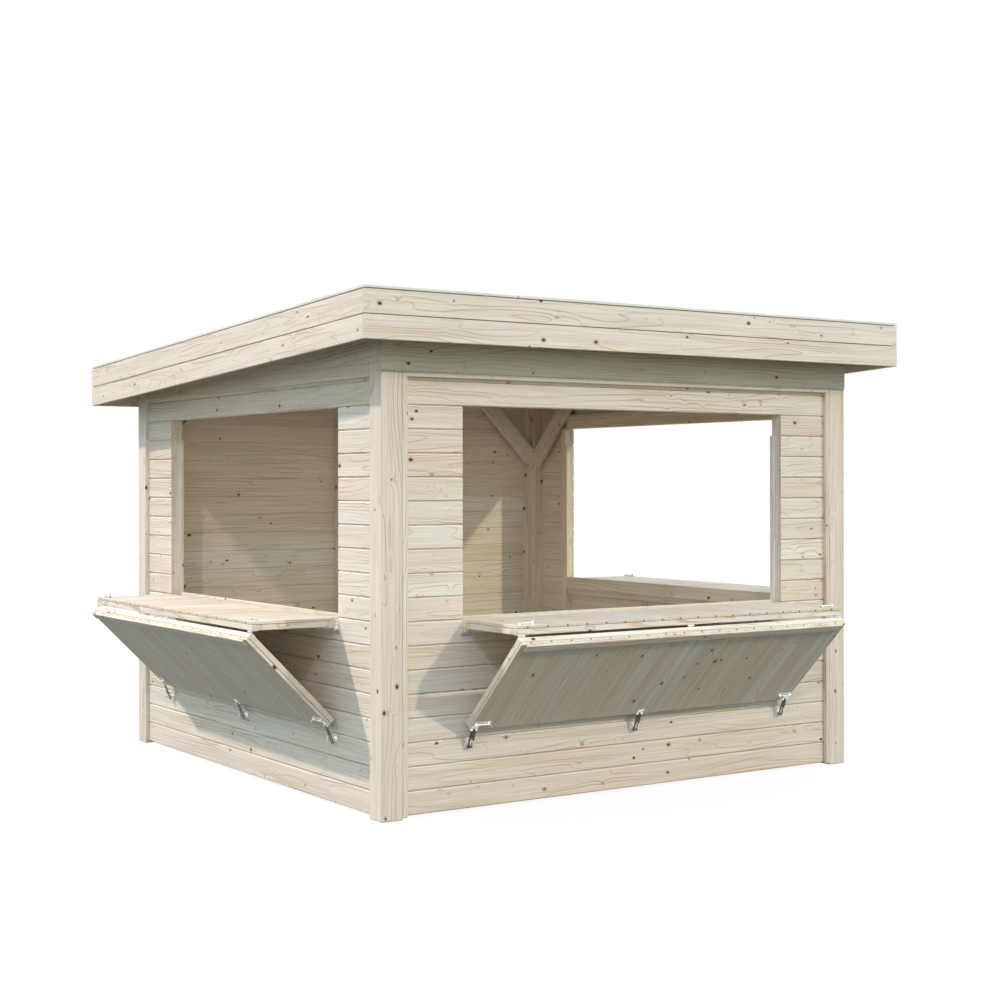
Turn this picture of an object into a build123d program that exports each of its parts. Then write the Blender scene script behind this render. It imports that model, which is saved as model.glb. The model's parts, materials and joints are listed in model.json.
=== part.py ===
"""Timber market stall with three folding serving hatches, in millimetres.

+Z is up and z = 0 is the ground.  The front faces -Y.  The origin is the middle of the overall
footprint, hatches and eaves included.
"""

from build123d import *
import math
import os

# ---- plan and height -----------------------------------------------------------------------
span = 3000.0              # over the outer faces of the corner posts, both ways
post_size = 115.0          # square corner posts
joint_gap = 0.3            # between pieces that butt against each other in one node

# ---- wall boards ---------------------------------------------------------------------------
board_cover = 114.0        # height of one course of tongued boards
board_thickness = 18.0
wall_clearance = 13.0      # ground to the lowest board
wall_recess = 22.0         # boards lie this far behind the posts' outer faces
opening_courses = 17       # courses from the lowest board up to the heads of the openings
head_boards = 152.0        # boards between an opening and the beam above it
plate_height = 42.0        # top plates, from the boards' top to the posts' top
opening_inset = 462.5      # outer face of a post to the nearer side of a serving opening

# ---- wall framing --------------------------------------------------------------------------
stud_width = 45.0
frame_depth = 54.0         # studs and rails behind the boards
stop_width = 16.0          # laths that the closed hatch shuts against
sill_stop_height = 75.0    # from the sill to the head of the lath that the hatch shuts against
sill_stop_lap = 5.0        # that lath on the rail under it
head_rail_height = 95.0
head_bearing = 20.0        # rail over an opening on the stud at each side
stop_courses = 16          # courses up to the top of the jamb stops
lower_stud_place = 235.0   # middle of the wall to each stud below the sill
end_lath_width = 45.0      # laths on the back wall beside the posts
end_lath_thickness = 20.0
batten_width = 28.0        # upright cover laths beside the front posts
batten_height = 22.0       # cover laths under the beams
batten_lift = 10.0         # ground to the foot of the upright laths

# ---- hatches: a counter flap hinged at the sill and a prop panel folded under it ------------
panel_frame = 28.0         # thickness of the frame laths
panel_boards = 16.0        # thickness of the boards on them
frame_lath = 45.0          # width of the frame laths
hatch_clearance = 5.0      # closed hatch to the opening on every side, and to the stops
counter_depth = 446.0
counter_underside = 880.0
counter_gap = 12.0         # wall boards to the inner edge of the open counter
prop_foot_gap = 17.0       # wall to the foot of the open prop
panel_ribs = 3             # laths across each panel between its end laths
edge_lath_width = 42.0     # lath on the prop's boards along their upper edge
edge_lath_thickness = 12.0
edge_lath_inset = 26.0     # end of the prop to the end of that lath

# ---- hatch fittings ------------------------------------------------------------------------
hinge_inset = 21.5         # end of a panel to the middle of its outer hinges
sill_axis_drop = 14.0      # sill axis to the boards' face and to the counter's underside
sill_hinge_radius = 5.5
sill_hinge_length = 40.0
sill_hinge_leaf = 34.0
leaf_setback = 6.0         # edge of the counter to the outer parts of its leaves
sill_plate_width = 63.0    # leaves on the wall, outer ones reaching past the panel
sill_plate_height = 17.0
fold_hinge_radius = 3.5
fold_hinge_length = 40.0
fold_hinge_leaf = 30.0
fold_hinge_edge = 3.0      # fold axis to the edge of each panel, measured along its face
knuckle_clearance = 0.5
hinge_plate = 2.0
pin_share = 0.4            # pin radius as a share of the knuckle radius
pin_clearance = 0.1
bolt_length = 96.0
bolt_plate_width = 24.0
bolt_plate = 3.0
bolt_rod = 4.0
bolt_rod_gap = 1.0         # plate to the rod
bolt_height = 14.0
counter_bolt_inset = 20.0  # end of the panel to the tip of its bolt
counter_bolt_edge = 35.0   # outer edge of the counter to the middle of its bolts
prop_bolt_inset = 3.0
prop_bolt_edge = 47.0      # lower end of the prop to the middle of its bolts
hasp_width = 30.0
hasp_length = 98.0
hasp_strap = 2.5
hasp_lean = 22.0           # degrees from upright, running down towards the wall
hasp_radius = 4.0
hasp_knuckle_length = 40.0
hasp_leaf = 26.0
hasp_slot_width = 12.0
hasp_slot_length = 44.0
hasp_margin = 8.0          # foot of the strap to its slot
staple_half_height = 12.0  # middle of a staple to each of its legs
staple_wire = 2.5
staple_reach = 46.0
staple_plate_size = 34.0
staple_plate = 2.0

# ---- roof ----------------------------------------------------------------------------------
eaves = 205.0              # posts to the outer face of the fascia, front and sides
back_eaves = 242.0
roof_slope = 2.81          # degrees, falling to the back
trim_height = 14.0
trim_width = 40.0
roof_board = 18.0
fascia_height = 229.0
fascia_thickness = 18.0
rafter_depth = 95.0
rafter_width = 45.0
inner_rafters = 5
beam_thickness = 45.0
beam_proud = 6.0           # front and back beams stand out from the posts
back_beam_height = 84.0    # at its outer face; the roof rises from there

# ---- corner knee braces --------------------------------------------------------------------
knee_width = 100.0
knee_thickness = 45.0
knee_reach = 432.0         # post to the lower edge, along the beam and down the post

# ---- back door -----------------------------------------------------------------------------
door_place = -316.0        # middle of the wall to the middle of the door, seen from outside
door_width = 850.0
door_gap = 5.0
door_foot_gap = 14.0
door_thickness = 44.0
strap_length = 300.0
strap_height = 36.0
strap_thickness = 4.0
strap_overlap = 60.0
strap_low = 330.0
strap_rise = 650.0
strap_count = 3
handle_height = 1020.0
handle_length = 140.0
handle_reach = 36.0
handle_radius = 7.0
handle_foot_place = 55.0    # middle of the handle to the middle of each foot
handle_inset = 70.0

# ---- values worked out from those above ----------------------------------------------------
half = span / 2
face = half - wall_recess                      # middle of the plan to the boards' outer face
bay = half - post_size                         # middle of a wall to the posts beside it
opening_half = half - opening_inset
opening_head = wall_clearance + opening_courses * board_cover
beam_underside = opening_head + head_boards
post_top = beam_underside + plate_height
panel_thickness = panel_frame + panel_boards
wall_depth = board_thickness + frame_depth
knee_outer_face = post_size - wall_recess - knee_thickness
panel_half = opening_half - hatch_clearance
sill_axis_height = counter_underside - sill_axis_drop
closed_foot = sill_axis_height + counter_gap - sill_axis_drop
sill_height = closed_foot - hatch_clearance
panel_far_face = sill_axis_drop + panel_thickness
edge_swing = math.hypot(panel_far_face, counter_gap - sill_axis_drop)
stop_face = edge_swing - sill_axis_drop + hatch_clearance
fold_axis_drop = fold_hinge_radius + knuckle_clearance
counter_edge = counter_gap + counter_depth
fold_axis_reach = counter_edge + fold_hinge_edge
fold_axis_height = counter_underside - fold_axis_drop
head_swing = opening_head - hatch_clearance - sill_axis_height
closed_top = sill_axis_height + math.sqrt(head_swing**2 - panel_far_face**2)
prop_length = closed_top - closed_foot - counter_depth - 2 * fold_hinge_edge
prop_swing = math.hypot(fold_hinge_edge + prop_length, fold_axis_drop)
prop_angle = math.acos((fold_axis_reach - prop_foot_gap) / prop_swing)
prop_angle = prop_angle - math.atan2(fold_axis_drop, fold_hinge_edge + prop_length)
edge_lath_face = fold_axis_drop + panel_thickness + joint_gap + edge_lath_thickness
hatch_reach = fold_axis_reach + edge_lath_face * math.sin(prop_angle)
hatch_reach = hatch_reach - fold_hinge_edge * math.cos(prop_angle) - wall_recess
plan_shift = (hatch_reach - back_eaves) / 2    # puts the origin in the middle of the footprint
front_line = plan_shift - half                 # outer faces of the front posts
back_line = plan_shift + half
fall = math.tan(math.radians(roof_slope))
rafter_drop = trim_height + roof_board + joint_gap
beam_drop = rafter_drop + rafter_depth + joint_gap
roof_low = beam_underside + back_beam_height + beam_drop

LOW_CORNER = (Align.MIN, Align.MIN, Align.MIN)
LOW_FOOT = (Align.CENTER, Align.CENTER, Align.MIN)
os.makedirs("parts", exist_ok=True)


def wall_plane(turn):
    """Frame on a wall: x along it, y into the stall, z up, from the foot of the boards' face."""
    centre = Vector(0, plan_shift, 0)
    along = Vector(1, 0, 0).rotate(Axis.Z, turn)
    out = Vector(0, -1, 0).rotate(Axis.Z, turn)
    return Plane(origin=centre + out * face, x_dir=along, z_dir=(0, 0, 1))


def bar(x0, x1, y0, y1, z0, z1, mode=Mode.ADD):
    """Add or cut a straight piece between two corners of the part being built."""
    with Locations((x0, y0, z0)):
        Box(x1 - x0, y1 - y0, z1 - z0, align=LOW_CORNER, mode=mode)


def pair(x0, x1, y0, y1, z0, z1):
    """Add a straight piece and its mirror image about the middle of the wall."""
    bar(x0, x1, y0, y1, z0, z1)
    bar(-x1, -x0, y0, y1, z0, z1)


def save(piece, name):
    """Label a finished piece and write it as its own file."""
    piece.label = name
    export_step(piece, f"parts/{name}.step")


def roof_top(y):
    """Height of the top of the edge trim at a place along the roof."""
    return roof_low + (back_line + beam_proud - y) * fall


def side_slab(corners, x0, x1, mode=Mode.ADD):
    """Add or cut a slab whose outline, in the side view, runs through the corners."""
    with BuildSketch(Plane.YZ.offset(x0)) as outline:
        with BuildLine():
            Polyline(*corners, close=True)
        make_face()
    extrude(outline.sketch, amount=x1 - x0, mode=mode)


def sloped_board(y0, y1, drop, depth, x0, x1, mode=Mode.ADD):
    """Add or cut a board that follows the roof, its top lying drop below the trim's top."""
    corners = (
        (y0, roof_top(y0) - drop),
        (y1, roof_top(y1) - drop),
        (y1, roof_top(y1) - drop - depth),
        (y0, roof_top(y0) - drop - depth),
    )
    side_slab(corners, x0, x1, mode)


FRONT, RIGHT, BACK, LEFT = (wall_plane(turn) for turn in (0, 90, 180, 270))
HATCH_WALLS = {"front": FRONT, "right": RIGHT, "left": LEFT}
ALL_WALLS = {"front": FRONT, "right": RIGHT, "back": BACK, "left": LEFT}

# ---- corner posts --------------------------------------------------------------------------
post_centre = half - post_size / 2
beam_let_in = beam_thickness - beam_proud
with BuildPart(Plane(origin=(0, plan_shift, 0))) as corner_posts:
    with GridLocations(2 * post_centre, 2 * post_centre, 2, 2):
        Box(post_size, post_size, post_top, align=(Align.CENTER, Align.CENTER, Align.MIN))
    with GridLocations(2 * post_centre, 2 * half, 2, 2):
        with Locations((0, 0, beam_underside)):
            Box(post_size, 2 * beam_let_in, post_top, align=LOW_FOOT, mode=Mode.SUBTRACT)
save(corner_posts.part, "corner_posts")

# ---- walls with a serving opening ----------------------------------------------------------
for side, plane in HATCH_WALLS.items():
    with BuildPart(plane) as wall_lower:
        bar(-bay, bay, 0, board_thickness, wall_clearance, sill_height)
    save(wall_lower.part, f"{side}_wall_lower")
    with BuildPart(plane) as wall_piers:
        pair(opening_half, bay, 0, board_thickness, sill_height, opening_head)
    save(wall_piers.part, f"{side}_wall_piers")
    with BuildPart(plane) as wall_header:
        bar(-bay, bay, 0, board_thickness, opening_head, beam_underside)
    save(wall_header.part, f"{side}_wall_header")
    with BuildPart(plane) as wall_frame:
        rail_end = opening_half - joint_gap
        rail_top = sill_height - stud_width
        stud_foot = wall_clearance + stud_width + joint_gap
        stud_head = opening_head - joint_gap
        jamb_outer = opening_half + stud_width
        head_end = opening_half + head_bearing
        pair(opening_half, jamb_outer, board_thickness, wall_depth, wall_clearance, stud_head)
        head_rail_top = opening_head + head_rail_height
        bar(-head_end, head_end, board_thickness, knee_outer_face - joint_gap, opening_head, head_rail_top)
        bar(-rail_end, rail_end, board_thickness, stop_face - joint_gap, rail_top, sill_height)
        bar(-rail_end, rail_end, board_thickness, wall_depth, wall_clearance, wall_clearance + stud_width)
        stud_start = lower_stud_place - stud_width / 2
        stud_end = lower_stud_place + stud_width / 2
        pair(stud_start, stud_end, board_thickness, wall_depth, stud_foot, rail_top - joint_gap)
    save(wall_frame.part, f"{side}_wall_frame")

# ---- back wall and its door ----------------------------------------------------------------
doorway_left = door_place - door_width / 2 - door_gap
doorway_right = door_place + door_width / 2 + door_gap
with BuildPart(BACK) as back_wall_sides:
    bar(-bay, doorway_left, 0, board_thickness, wall_clearance, opening_head)
    bar(doorway_right, bay, 0, board_thickness, wall_clearance, opening_head)
save(back_wall_sides.part, "back_wall_sides")
with BuildPart(BACK) as back_wall_header:
    bar(-bay, bay, 0, board_thickness, opening_head, beam_underside)
save(back_wall_header.part, "back_wall_header")
with BuildPart(BACK) as back_wall_frame:
    stud_head = opening_head - joint_gap
    head_left = doorway_left - head_bearing
    head_right = doorway_right + head_bearing
    bar(doorway_left - stud_width, doorway_left, board_thickness, wall_depth, wall_clearance, stud_head)
    bar(doorway_right, doorway_right + stud_width, board_thickness, wall_depth, wall_clearance, stud_head)
    bar(head_left, head_right, board_thickness, wall_depth, opening_head, opening_head + stud_width)
    sole_top = wall_clearance + stud_width
    left_sole_end = doorway_left - stud_width - joint_gap
    right_sole_start = doorway_right + stud_width + joint_gap
    bar(-bay, left_sole_end, board_thickness, wall_depth, wall_clearance, sole_top)
    bar(right_sole_start, bay, board_thickness, wall_depth, wall_clearance, sole_top)
    lath_inner_face = board_thickness + end_lath_thickness
    end_lath_foot = sole_top + joint_gap
    end_lath_head = beam_underside - joint_gap
    pair(bay - end_lath_width, bay, board_thickness, lath_inner_face, end_lath_foot, end_lath_head)
save(back_wall_frame.part, "back_wall_frame")
door_foot = wall_clearance + door_foot_gap
door_left = doorway_left + door_gap
door_right = doorway_right - door_gap
with BuildPart(BACK) as back_door:
    bar(door_left, door_right, 0, door_thickness, door_foot, opening_head - door_gap)
save(back_door.part, "back_door")
with BuildPart(BACK) as back_door_fittings:
    strap_start = doorway_left - strap_overlap
    for level in [strap_low + i * strap_rise for i in range(strap_count)]:
        bar(strap_start, strap_start + strap_length, -strap_thickness, 0,
            level - strap_height / 2, level + strap_height / 2)
save(back_door_fittings.part, "back_door_fittings")
with BuildPart(BACK) as back_door_handle:
    grip = door_right - handle_inset
    with Locations((grip, -handle_reach, handle_height)):
        Cylinder(handle_radius, handle_length)
    foot_face = handle_radius + joint_gap - handle_reach
    for foot in (handle_height - handle_foot_place, handle_height + handle_foot_place):
        foot_low = foot - handle_radius
        foot_high = foot + handle_radius
        bar(grip - handle_radius, grip + handle_radius, foot_face, 0, foot_low, foot_high)
save(back_door_handle.part, "back_door_handle")


# ---- stops, cover laths and plates ---------------------------------------------------------
stop_top = wall_clearance + stop_courses * board_cover
sill_stop_end = opening_half - stop_width - joint_gap
hatch_stops = []
for plane in HATCH_WALLS.values():
    with BuildPart(plane) as wall_stops:
        sill_stop_foot = sill_height - sill_stop_lap
        sill_stop_top = sill_height + sill_stop_height
        bar(-sill_stop_end, sill_stop_end, stop_face, wall_depth, sill_stop_foot, sill_stop_top)
        pair(opening_half - stop_width, opening_half, stop_face, wall_depth, sill_height, stop_top)
    hatch_stops += wall_stops.part.solids()
save(Compound(children=hatch_stops), "hatch_stops")

lath_top = beam_underside - joint_gap
lath_foot = beam_underside - batten_height
upright_top = lath_foot - joint_gap
wall_battens = []
with BuildPart(FRONT) as front_battens:
    pair(bay - batten_width, bay, -wall_recess, 0, batten_lift, upright_top)
    bar(-bay, bay, -wall_recess, 0, lath_foot, lath_top)
wall_battens += front_battens.part.solids()
with BuildPart(BACK) as back_battens:
    bar(-bay, bay, -wall_recess, 0, lath_foot, lath_top)
wall_battens += back_battens.part.solids()
save(Compound(children=wall_battens), "wall_battens")

plate_outer = post_size - wall_recess
top_plates = []
for side, plane in ALL_WALLS.items():
    plate_start = beam_thickness - wall_recess - beam_proud * (side in ("front", "back")) + joint_gap
    with BuildPart(plane) as top_plate:
        bar(-bay, bay, max(plate_start, board_thickness), plate_outer, beam_underside, post_top)
    top_plates += top_plate.part.solids()
save(Compound(children=top_plates), "top_plates")

# ---- knee braces in every corner, along both walls -----------------------------------------
knee_rise = knee_width * math.sqrt(2)
knee_top = beam_underside - joint_gap
knee_foot = knee_top - knee_reach
knee_braces = []
for plane in ALL_WALLS.values():
    for end in (-1, 1):
        knee_plane = Plane(
            origin=plane.from_local_coords((0, plate_outer, 0)),
            x_dir=plane.x_dir,
            z_dir=-plane.y_dir,
        )
        with BuildPart() as knee_brace:
            with BuildSketch(knee_plane) as knee_shape:
                with BuildLine():
                    Polyline(
                        (end * bay, knee_foot),
                        (end * bay, knee_foot + knee_rise),
                        (end * (bay - knee_reach + knee_rise), knee_top),
                        (end * (bay - knee_reach), knee_top),
                        close=True,
                    )
                make_face()
            extrude(amount=knee_thickness)
        knee_braces += knee_brace.part.solids()
save(Compound(children=knee_braces), "knee_braces")

# ---- beams under the roof ------------------------------------------------------------------
BEAM_FACES = {
    "front_beam": (front_line - beam_proud, front_line + beam_let_in),
    "back_beam": (back_line - beam_let_in, back_line + beam_proud),
}
for name, (near, far) in BEAM_FACES.items():
    cross_corners = (
        (near, beam_underside),
        (far, beam_underside),
        (far, roof_top(far) - beam_drop),
        (near, roof_top(near) - beam_drop),
    )
    with BuildPart() as cross_beam:
        side_slab(cross_corners, -half, half)
    save(cross_beam.part, name)

side_beam_start = front_line + beam_let_in + joint_gap
side_beam_end = back_line - beam_let_in - joint_gap
side_beam_foot = post_top + joint_gap
side_corners = (
    (side_beam_start, side_beam_foot),
    (side_beam_end, side_beam_foot),
    (side_beam_end, roof_top(side_beam_end) - rafter_drop),
    (side_beam_start, roof_top(side_beam_start) - rafter_drop),
)
with BuildPart() as left_beam:
    side_slab(side_corners, -half, -half + beam_thickness)
with BuildPart() as right_beam:
    side_slab(side_corners, half - beam_thickness, half)
side_beams = left_beam.part.solids() + right_beam.part.solids()
for plane in (LEFT, RIGHT):
    with BuildPart(plane) as side_plate:
        bar(-bay, bay, -wall_recess, -joint_gap, lath_foot, post_top)
    side_beams += side_plate.part.solids()
save(Compound(children=side_beams), "side_beams")

# ---- roof ----------------------------------------------------------------------------------
roof_start = front_line - eaves
roof_end = back_line + back_eaves
roof_half = half + eaves
inside_start = roof_start + fascia_thickness + joint_gap
inside_end = roof_end - fascia_thickness - joint_gap
inside_half = roof_half - fascia_thickness - joint_gap

rafter_spacing = 2 * (half - beam_thickness) / (inner_rafters + 1)
rafter_places = [(i - (inner_rafters - 1) / 2) * rafter_spacing for i in range(inner_rafters)]
rafter_places += [-inside_half + rafter_width / 2, inside_half - rafter_width / 2]
with BuildPart() as rafters:
    for place in rafter_places:
        rafter_left = place - rafter_width / 2
        rafter_right = place + rafter_width / 2
        sloped_board(inside_start, inside_end, rafter_drop, rafter_depth, rafter_left, rafter_right)
save(rafters.part, "rafters")

with BuildPart() as roof_deck:
    sloped_board(inside_start, inside_end, trim_height, roof_board, -inside_half, inside_half)
save(roof_deck.part, "roof_deck")

fascia_board = (fascia_height - joint_gap) / 2
FASCIA_LEVELS = (trim_height, trim_height + fascia_board + joint_gap)
ROOF_ENDS = {"fascia_front": roof_start, "fascia_back": roof_end - fascia_thickness}
for name, start in ROOF_ENDS.items():
    end = start + fascia_thickness
    with BuildPart() as fascia:
        for level in FASCIA_LEVELS:
            sloped_board(start, end, level, fascia_board, -roof_half, roof_half)
    save(fascia.part, name)

side_fascia_face = roof_half - fascia_thickness
with BuildPart() as fascia_sides:
    for level in FASCIA_LEVELS:
        sloped_board(inside_start, inside_end, level, fascia_board, side_fascia_face, roof_half)
        sloped_board(inside_start, inside_end, level, fascia_board, -roof_half, -side_fascia_face)
save(fascia_sides.part, "fascia_sides")

trim_inner = roof_half - trim_width
trim_depth = trim_height - joint_gap
side_start = roof_start + trim_width + joint_gap
side_end = roof_end - trim_width - joint_gap
with BuildPart() as roof_edge_trim:
    sloped_board(roof_start, roof_start + trim_width, 0, trim_depth, -roof_half, roof_half)
    sloped_board(roof_end - trim_width, roof_end, 0, trim_depth, -roof_half, roof_half)
    sloped_board(side_start, side_end, 0, trim_depth, -roof_half, -trim_inner)
    sloped_board(side_start, side_end, 0, trim_depth, trim_inner, roof_half)
save(roof_edge_trim.part, "roof_edge_trim")

# ---- hatches -------------------------------------------------------------------------------
panel_hinges = (hinge_inset - panel_half, 0.0, panel_half - hinge_inset)
frame_top = counter_underside + panel_frame
counter_top = counter_underside + panel_thickness
panel_end = panel_half - frame_lath - joint_gap
rib_spacing = 2 * panel_half / (panel_ribs + 1)
rib_places = [(i - (panel_ribs - 1) / 2) * rib_spacing for i in range(panel_ribs)]
frame_face = fold_axis_drop
boards_face = frame_face + panel_frame
prop_face = frame_face + panel_thickness
prop_head = -fold_hinge_edge
prop_foot = prop_head - prop_length


def panel_laths(y0, y1, z0, z1):
    """Add the frame of a panel: two long laths, two end laths and the ribs between them."""
    bar(-panel_half, panel_half, y0, y0 + frame_lath, z0, z1)
    bar(-panel_half, panel_half, y1 - frame_lath, y1, z0, z1)
    rib_start = y0 + frame_lath + joint_gap
    rib_end = y1 - frame_lath - joint_gap
    pair(panel_half - frame_lath, panel_half, rib_start, rib_end, z0, z1)
    for place in rib_places:
        bar(place - frame_lath / 2, place + frame_lath / 2, rib_start, rib_end, z0, z1)


def barrel(x0, x1, y, z, radius, mode=Mode.ADD):
    """Add or cut a round piece lying along the wall."""
    with Locations(Location(((x0 + x1) / 2, y, z), (0, 90, 0))):
        Cylinder(radius, x1 - x0, mode=mode)


def outer_knuckles(middle, length, radius, y, z):
    """Add the two outer thirds of a hinge knuckle and the pin through them."""
    third = length / 3
    barrel(middle - length / 2, middle - third / 2 - knuckle_clearance, y, z, radius)
    barrel(middle + third / 2 + knuckle_clearance, middle + length / 2, y, z, radius)
    barrel(middle - length / 2, middle + length / 2, y, z, pin_share * radius)


def sliding_bolt(tip, end, y, face_level):
    """Add a bolt lying on a panel, its tip towards that end of the wall."""
    back = tip - end * bolt_length
    low, high = min(tip, back), max(tip, back)
    edge = bolt_plate_width / 2
    keeper = bolt_plate_width / 4
    bar(low, high, y - edge, y + edge, face_level, face_level + bolt_plate)
    for start in (low, high - bolt_plate_width):
        keeper_end = start + bolt_plate_width
        bar(start, keeper_end, y - keeper, y + keeper, face_level + bolt_plate, face_level + bolt_height)
    barrel(low, high, y, face_level + bolt_plate + bolt_rod_gap + bolt_rod, bolt_rod)


def prop_plane(plane):
    """Frame on the fold axis of an open hatch: y up the prop, z out of its boards' face."""
    out = -plane.y_dir
    up = plane.z_dir
    return Plane(
        origin=plane.from_local_coords((0, -fold_axis_reach, fold_axis_height)),
        x_dir=plane.x_dir,
        z_dir=out * math.sin(prop_angle) - up * math.cos(prop_angle),
    )


def hasp_plane(plane, pivot):
    """Frame on the hasps' pivots: y up their straps, z out of the straps' face."""
    return Plane(
        origin=plane.from_local_coords(pivot),
        x_dir=plane.x_dir,
        z_dir=-plane.y_dir * math.cos(lean) - plane.z_dir * math.sin(lean),
    )


lean = math.radians(hasp_lean)
hasp_pivot_y = prop_foot + hasp_radius
hasp_pivot_z = prop_face + hasp_radius
sill_hinges = []
staples = []
for side, plane in HATCH_WALLS.items():
    prop = prop_plane(plane)
    with BuildPart(plane) as counter_boards:
        bar(-panel_half, panel_half, -counter_edge, -counter_gap, frame_top, counter_top)
    save(counter_boards.part, f"{side}_counter_boards")
    with BuildPart(plane) as counter_frame:
        panel_laths(-counter_edge, -counter_gap, counter_underside, frame_top - joint_gap)
    save(counter_frame.part, f"{side}_counter_frame")
    with BuildPart(prop) as prop_boards:
        bar(-panel_half, panel_half, prop_foot, prop_head, boards_face, prop_face)
    save(prop_boards.part, f"{side}_prop_boards")
    with BuildPart(prop) as prop_frame:
        panel_laths(prop_foot, prop_head, frame_face, boards_face - joint_gap)
        edge_lath_end = panel_half - edge_lath_inset
        edge_lath_foot = prop_head - edge_lath_width
        bar(-edge_lath_end, edge_lath_end, edge_lath_foot, prop_head, prop_face + joint_gap, edge_lath_face)
    save(prop_frame.part, f"{side}_prop_frame")

    # leaves on the counter: the middle knuckles at the sill and the outer ones at the fold
    with BuildPart(plane) as counter_fittings:
        third = sill_hinge_length / 3
        web = hinge_plate / 2
        leaf_end = counter_gap + sill_hinge_leaf
        plate_level = counter_underside - hinge_plate
        for middle in panel_hinges:
            ring_start = middle - third / 2
            ring_end = middle + third / 2
            axis_y = -sill_axis_drop
            barrel(ring_start, ring_end, axis_y, sill_axis_height, sill_hinge_radius)
            bar(ring_start, ring_end, axis_y - web, axis_y + web, sill_axis_height, plate_level)
            bore = pin_share * sill_hinge_radius + pin_clearance
            barrel(ring_start, ring_end, axis_y, sill_axis_height, bore, Mode.SUBTRACT)
            plate_start = middle - sill_hinge_length / 2
            plate_end = middle + sill_hinge_length / 2
            leaf_edge = -counter_gap - leaf_setback
            bar(plate_start, plate_end, -leaf_end, leaf_edge, plate_level, counter_underside)
            bar(ring_start, ring_end, leaf_edge, -counter_gap, plate_level, counter_underside)
            fold_start = middle - fold_hinge_length / 2
            fold_end = middle + fold_hinge_length / 2
            fold_mid = fold_hinge_length / 6 + knuckle_clearance
            outer_knuckles(middle, fold_hinge_length, fold_hinge_radius, -fold_axis_reach, fold_axis_height)
            leaf_start = -fold_axis_reach + fold_hinge_edge + knuckle_clearance
            inner_edge = -counter_edge + fold_hinge_leaf
            bar(fold_start, fold_end, leaf_start, inner_edge, plate_level, counter_underside)
            bar(fold_start, middle - fold_mid, -fold_axis_reach, leaf_start, plate_level, counter_underside)
            bar(middle + fold_mid, fold_end, -fold_axis_reach, leaf_start, plate_level, counter_underside)
        for end in (-1, 1):
            tip = end * (panel_half - counter_bolt_inset)
            sliding_bolt(tip, end, counter_bolt_edge - counter_edge, counter_top)
    save(counter_fittings.part, f"{side}_counter_fittings")

    # leaves on the prop: the middle knuckles at the fold, then bolts and the hasps' leaves
    with BuildPart(prop) as prop_fittings:
        third = fold_hinge_length / 3
        leaf_head = prop_head - knuckle_clearance
        leaf_foot = prop_head - fold_hinge_leaf
        plate_face = frame_face - hinge_plate
        for middle in panel_hinges:
            ring_start = middle - third / 2
            ring_end = middle + third / 2
            barrel(ring_start, ring_end, 0, 0, fold_hinge_radius)
            bar(ring_start, ring_end, leaf_head, 0, plate_face, frame_face - web)
            bore = pin_share * fold_hinge_radius + pin_clearance
            barrel(ring_start, ring_end, 0, 0, bore, Mode.SUBTRACT)
            fold_start = middle - fold_hinge_length / 2
            fold_end = middle + fold_hinge_length / 2
            bar(fold_start, fold_end, leaf_foot, leaf_head, plate_face, frame_face)
            hasp_start = middle - hasp_knuckle_length / 2
            hasp_end = middle + hasp_knuckle_length / 2
            outer_knuckles(middle, hasp_knuckle_length, hasp_radius, hasp_pivot_y, hasp_pivot_z)
            leaf_low = hasp_pivot_y + hasp_radius
            leaf_top = leaf_low + hasp_leaf
            leaf_face = prop_face + hinge_plate
            bar(hasp_start, hasp_end, leaf_low, leaf_top, prop_face, leaf_face)
            hasp_third = hasp_knuckle_length / 6 + knuckle_clearance
            bar(hasp_start, middle - hasp_third, hasp_pivot_y, leaf_low, prop_face, leaf_face)
            bar(middle + hasp_third, hasp_end, hasp_pivot_y, leaf_low, prop_face, leaf_face)
        for end in (-1, 1):
            tip = end * (panel_half - prop_bolt_inset)
            sliding_bolt(tip, end, prop_foot + prop_bolt_edge, prop_face)
    save(prop_fittings.part, f"{side}_prop_fittings")

    pivot = plane.to_local_coords(prop.from_local_coords((0, hasp_pivot_y, hasp_pivot_z)))
    with BuildPart(hasp_plane(plane, pivot)) as hasps:
        third = hasp_knuckle_length / 3
        strap_head = -hasp_radius - knuckle_clearance
        slot_foot = hasp_margin - hasp_length
        slot_head = slot_foot + hasp_slot_length
        for middle in panel_hinges:
            ring_start = middle - third / 2
            ring_end = middle + third / 2
            strap_start = middle - hasp_width / 2
            strap_end = middle + hasp_width / 2
            slot_start = middle - hasp_slot_width / 2
            slot_end = middle + hasp_slot_width / 2
            barrel(ring_start, ring_end, 0, 0, hasp_radius)
            bar(ring_start, ring_end, strap_head, 0, -hasp_strap / 2, hasp_strap / 2)
            bore = pin_share * hasp_radius + pin_clearance
            barrel(ring_start, ring_end, 0, 0, bore, Mode.SUBTRACT)
            bar(strap_start, strap_end, -hasp_length, strap_head, -hasp_strap / 2, hasp_strap / 2)
            bar(slot_start, slot_end, slot_foot, slot_head, -hasp_strap, hasp_strap, Mode.SUBTRACT)
    save(hasps.part, f"{side}_hasps")

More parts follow.
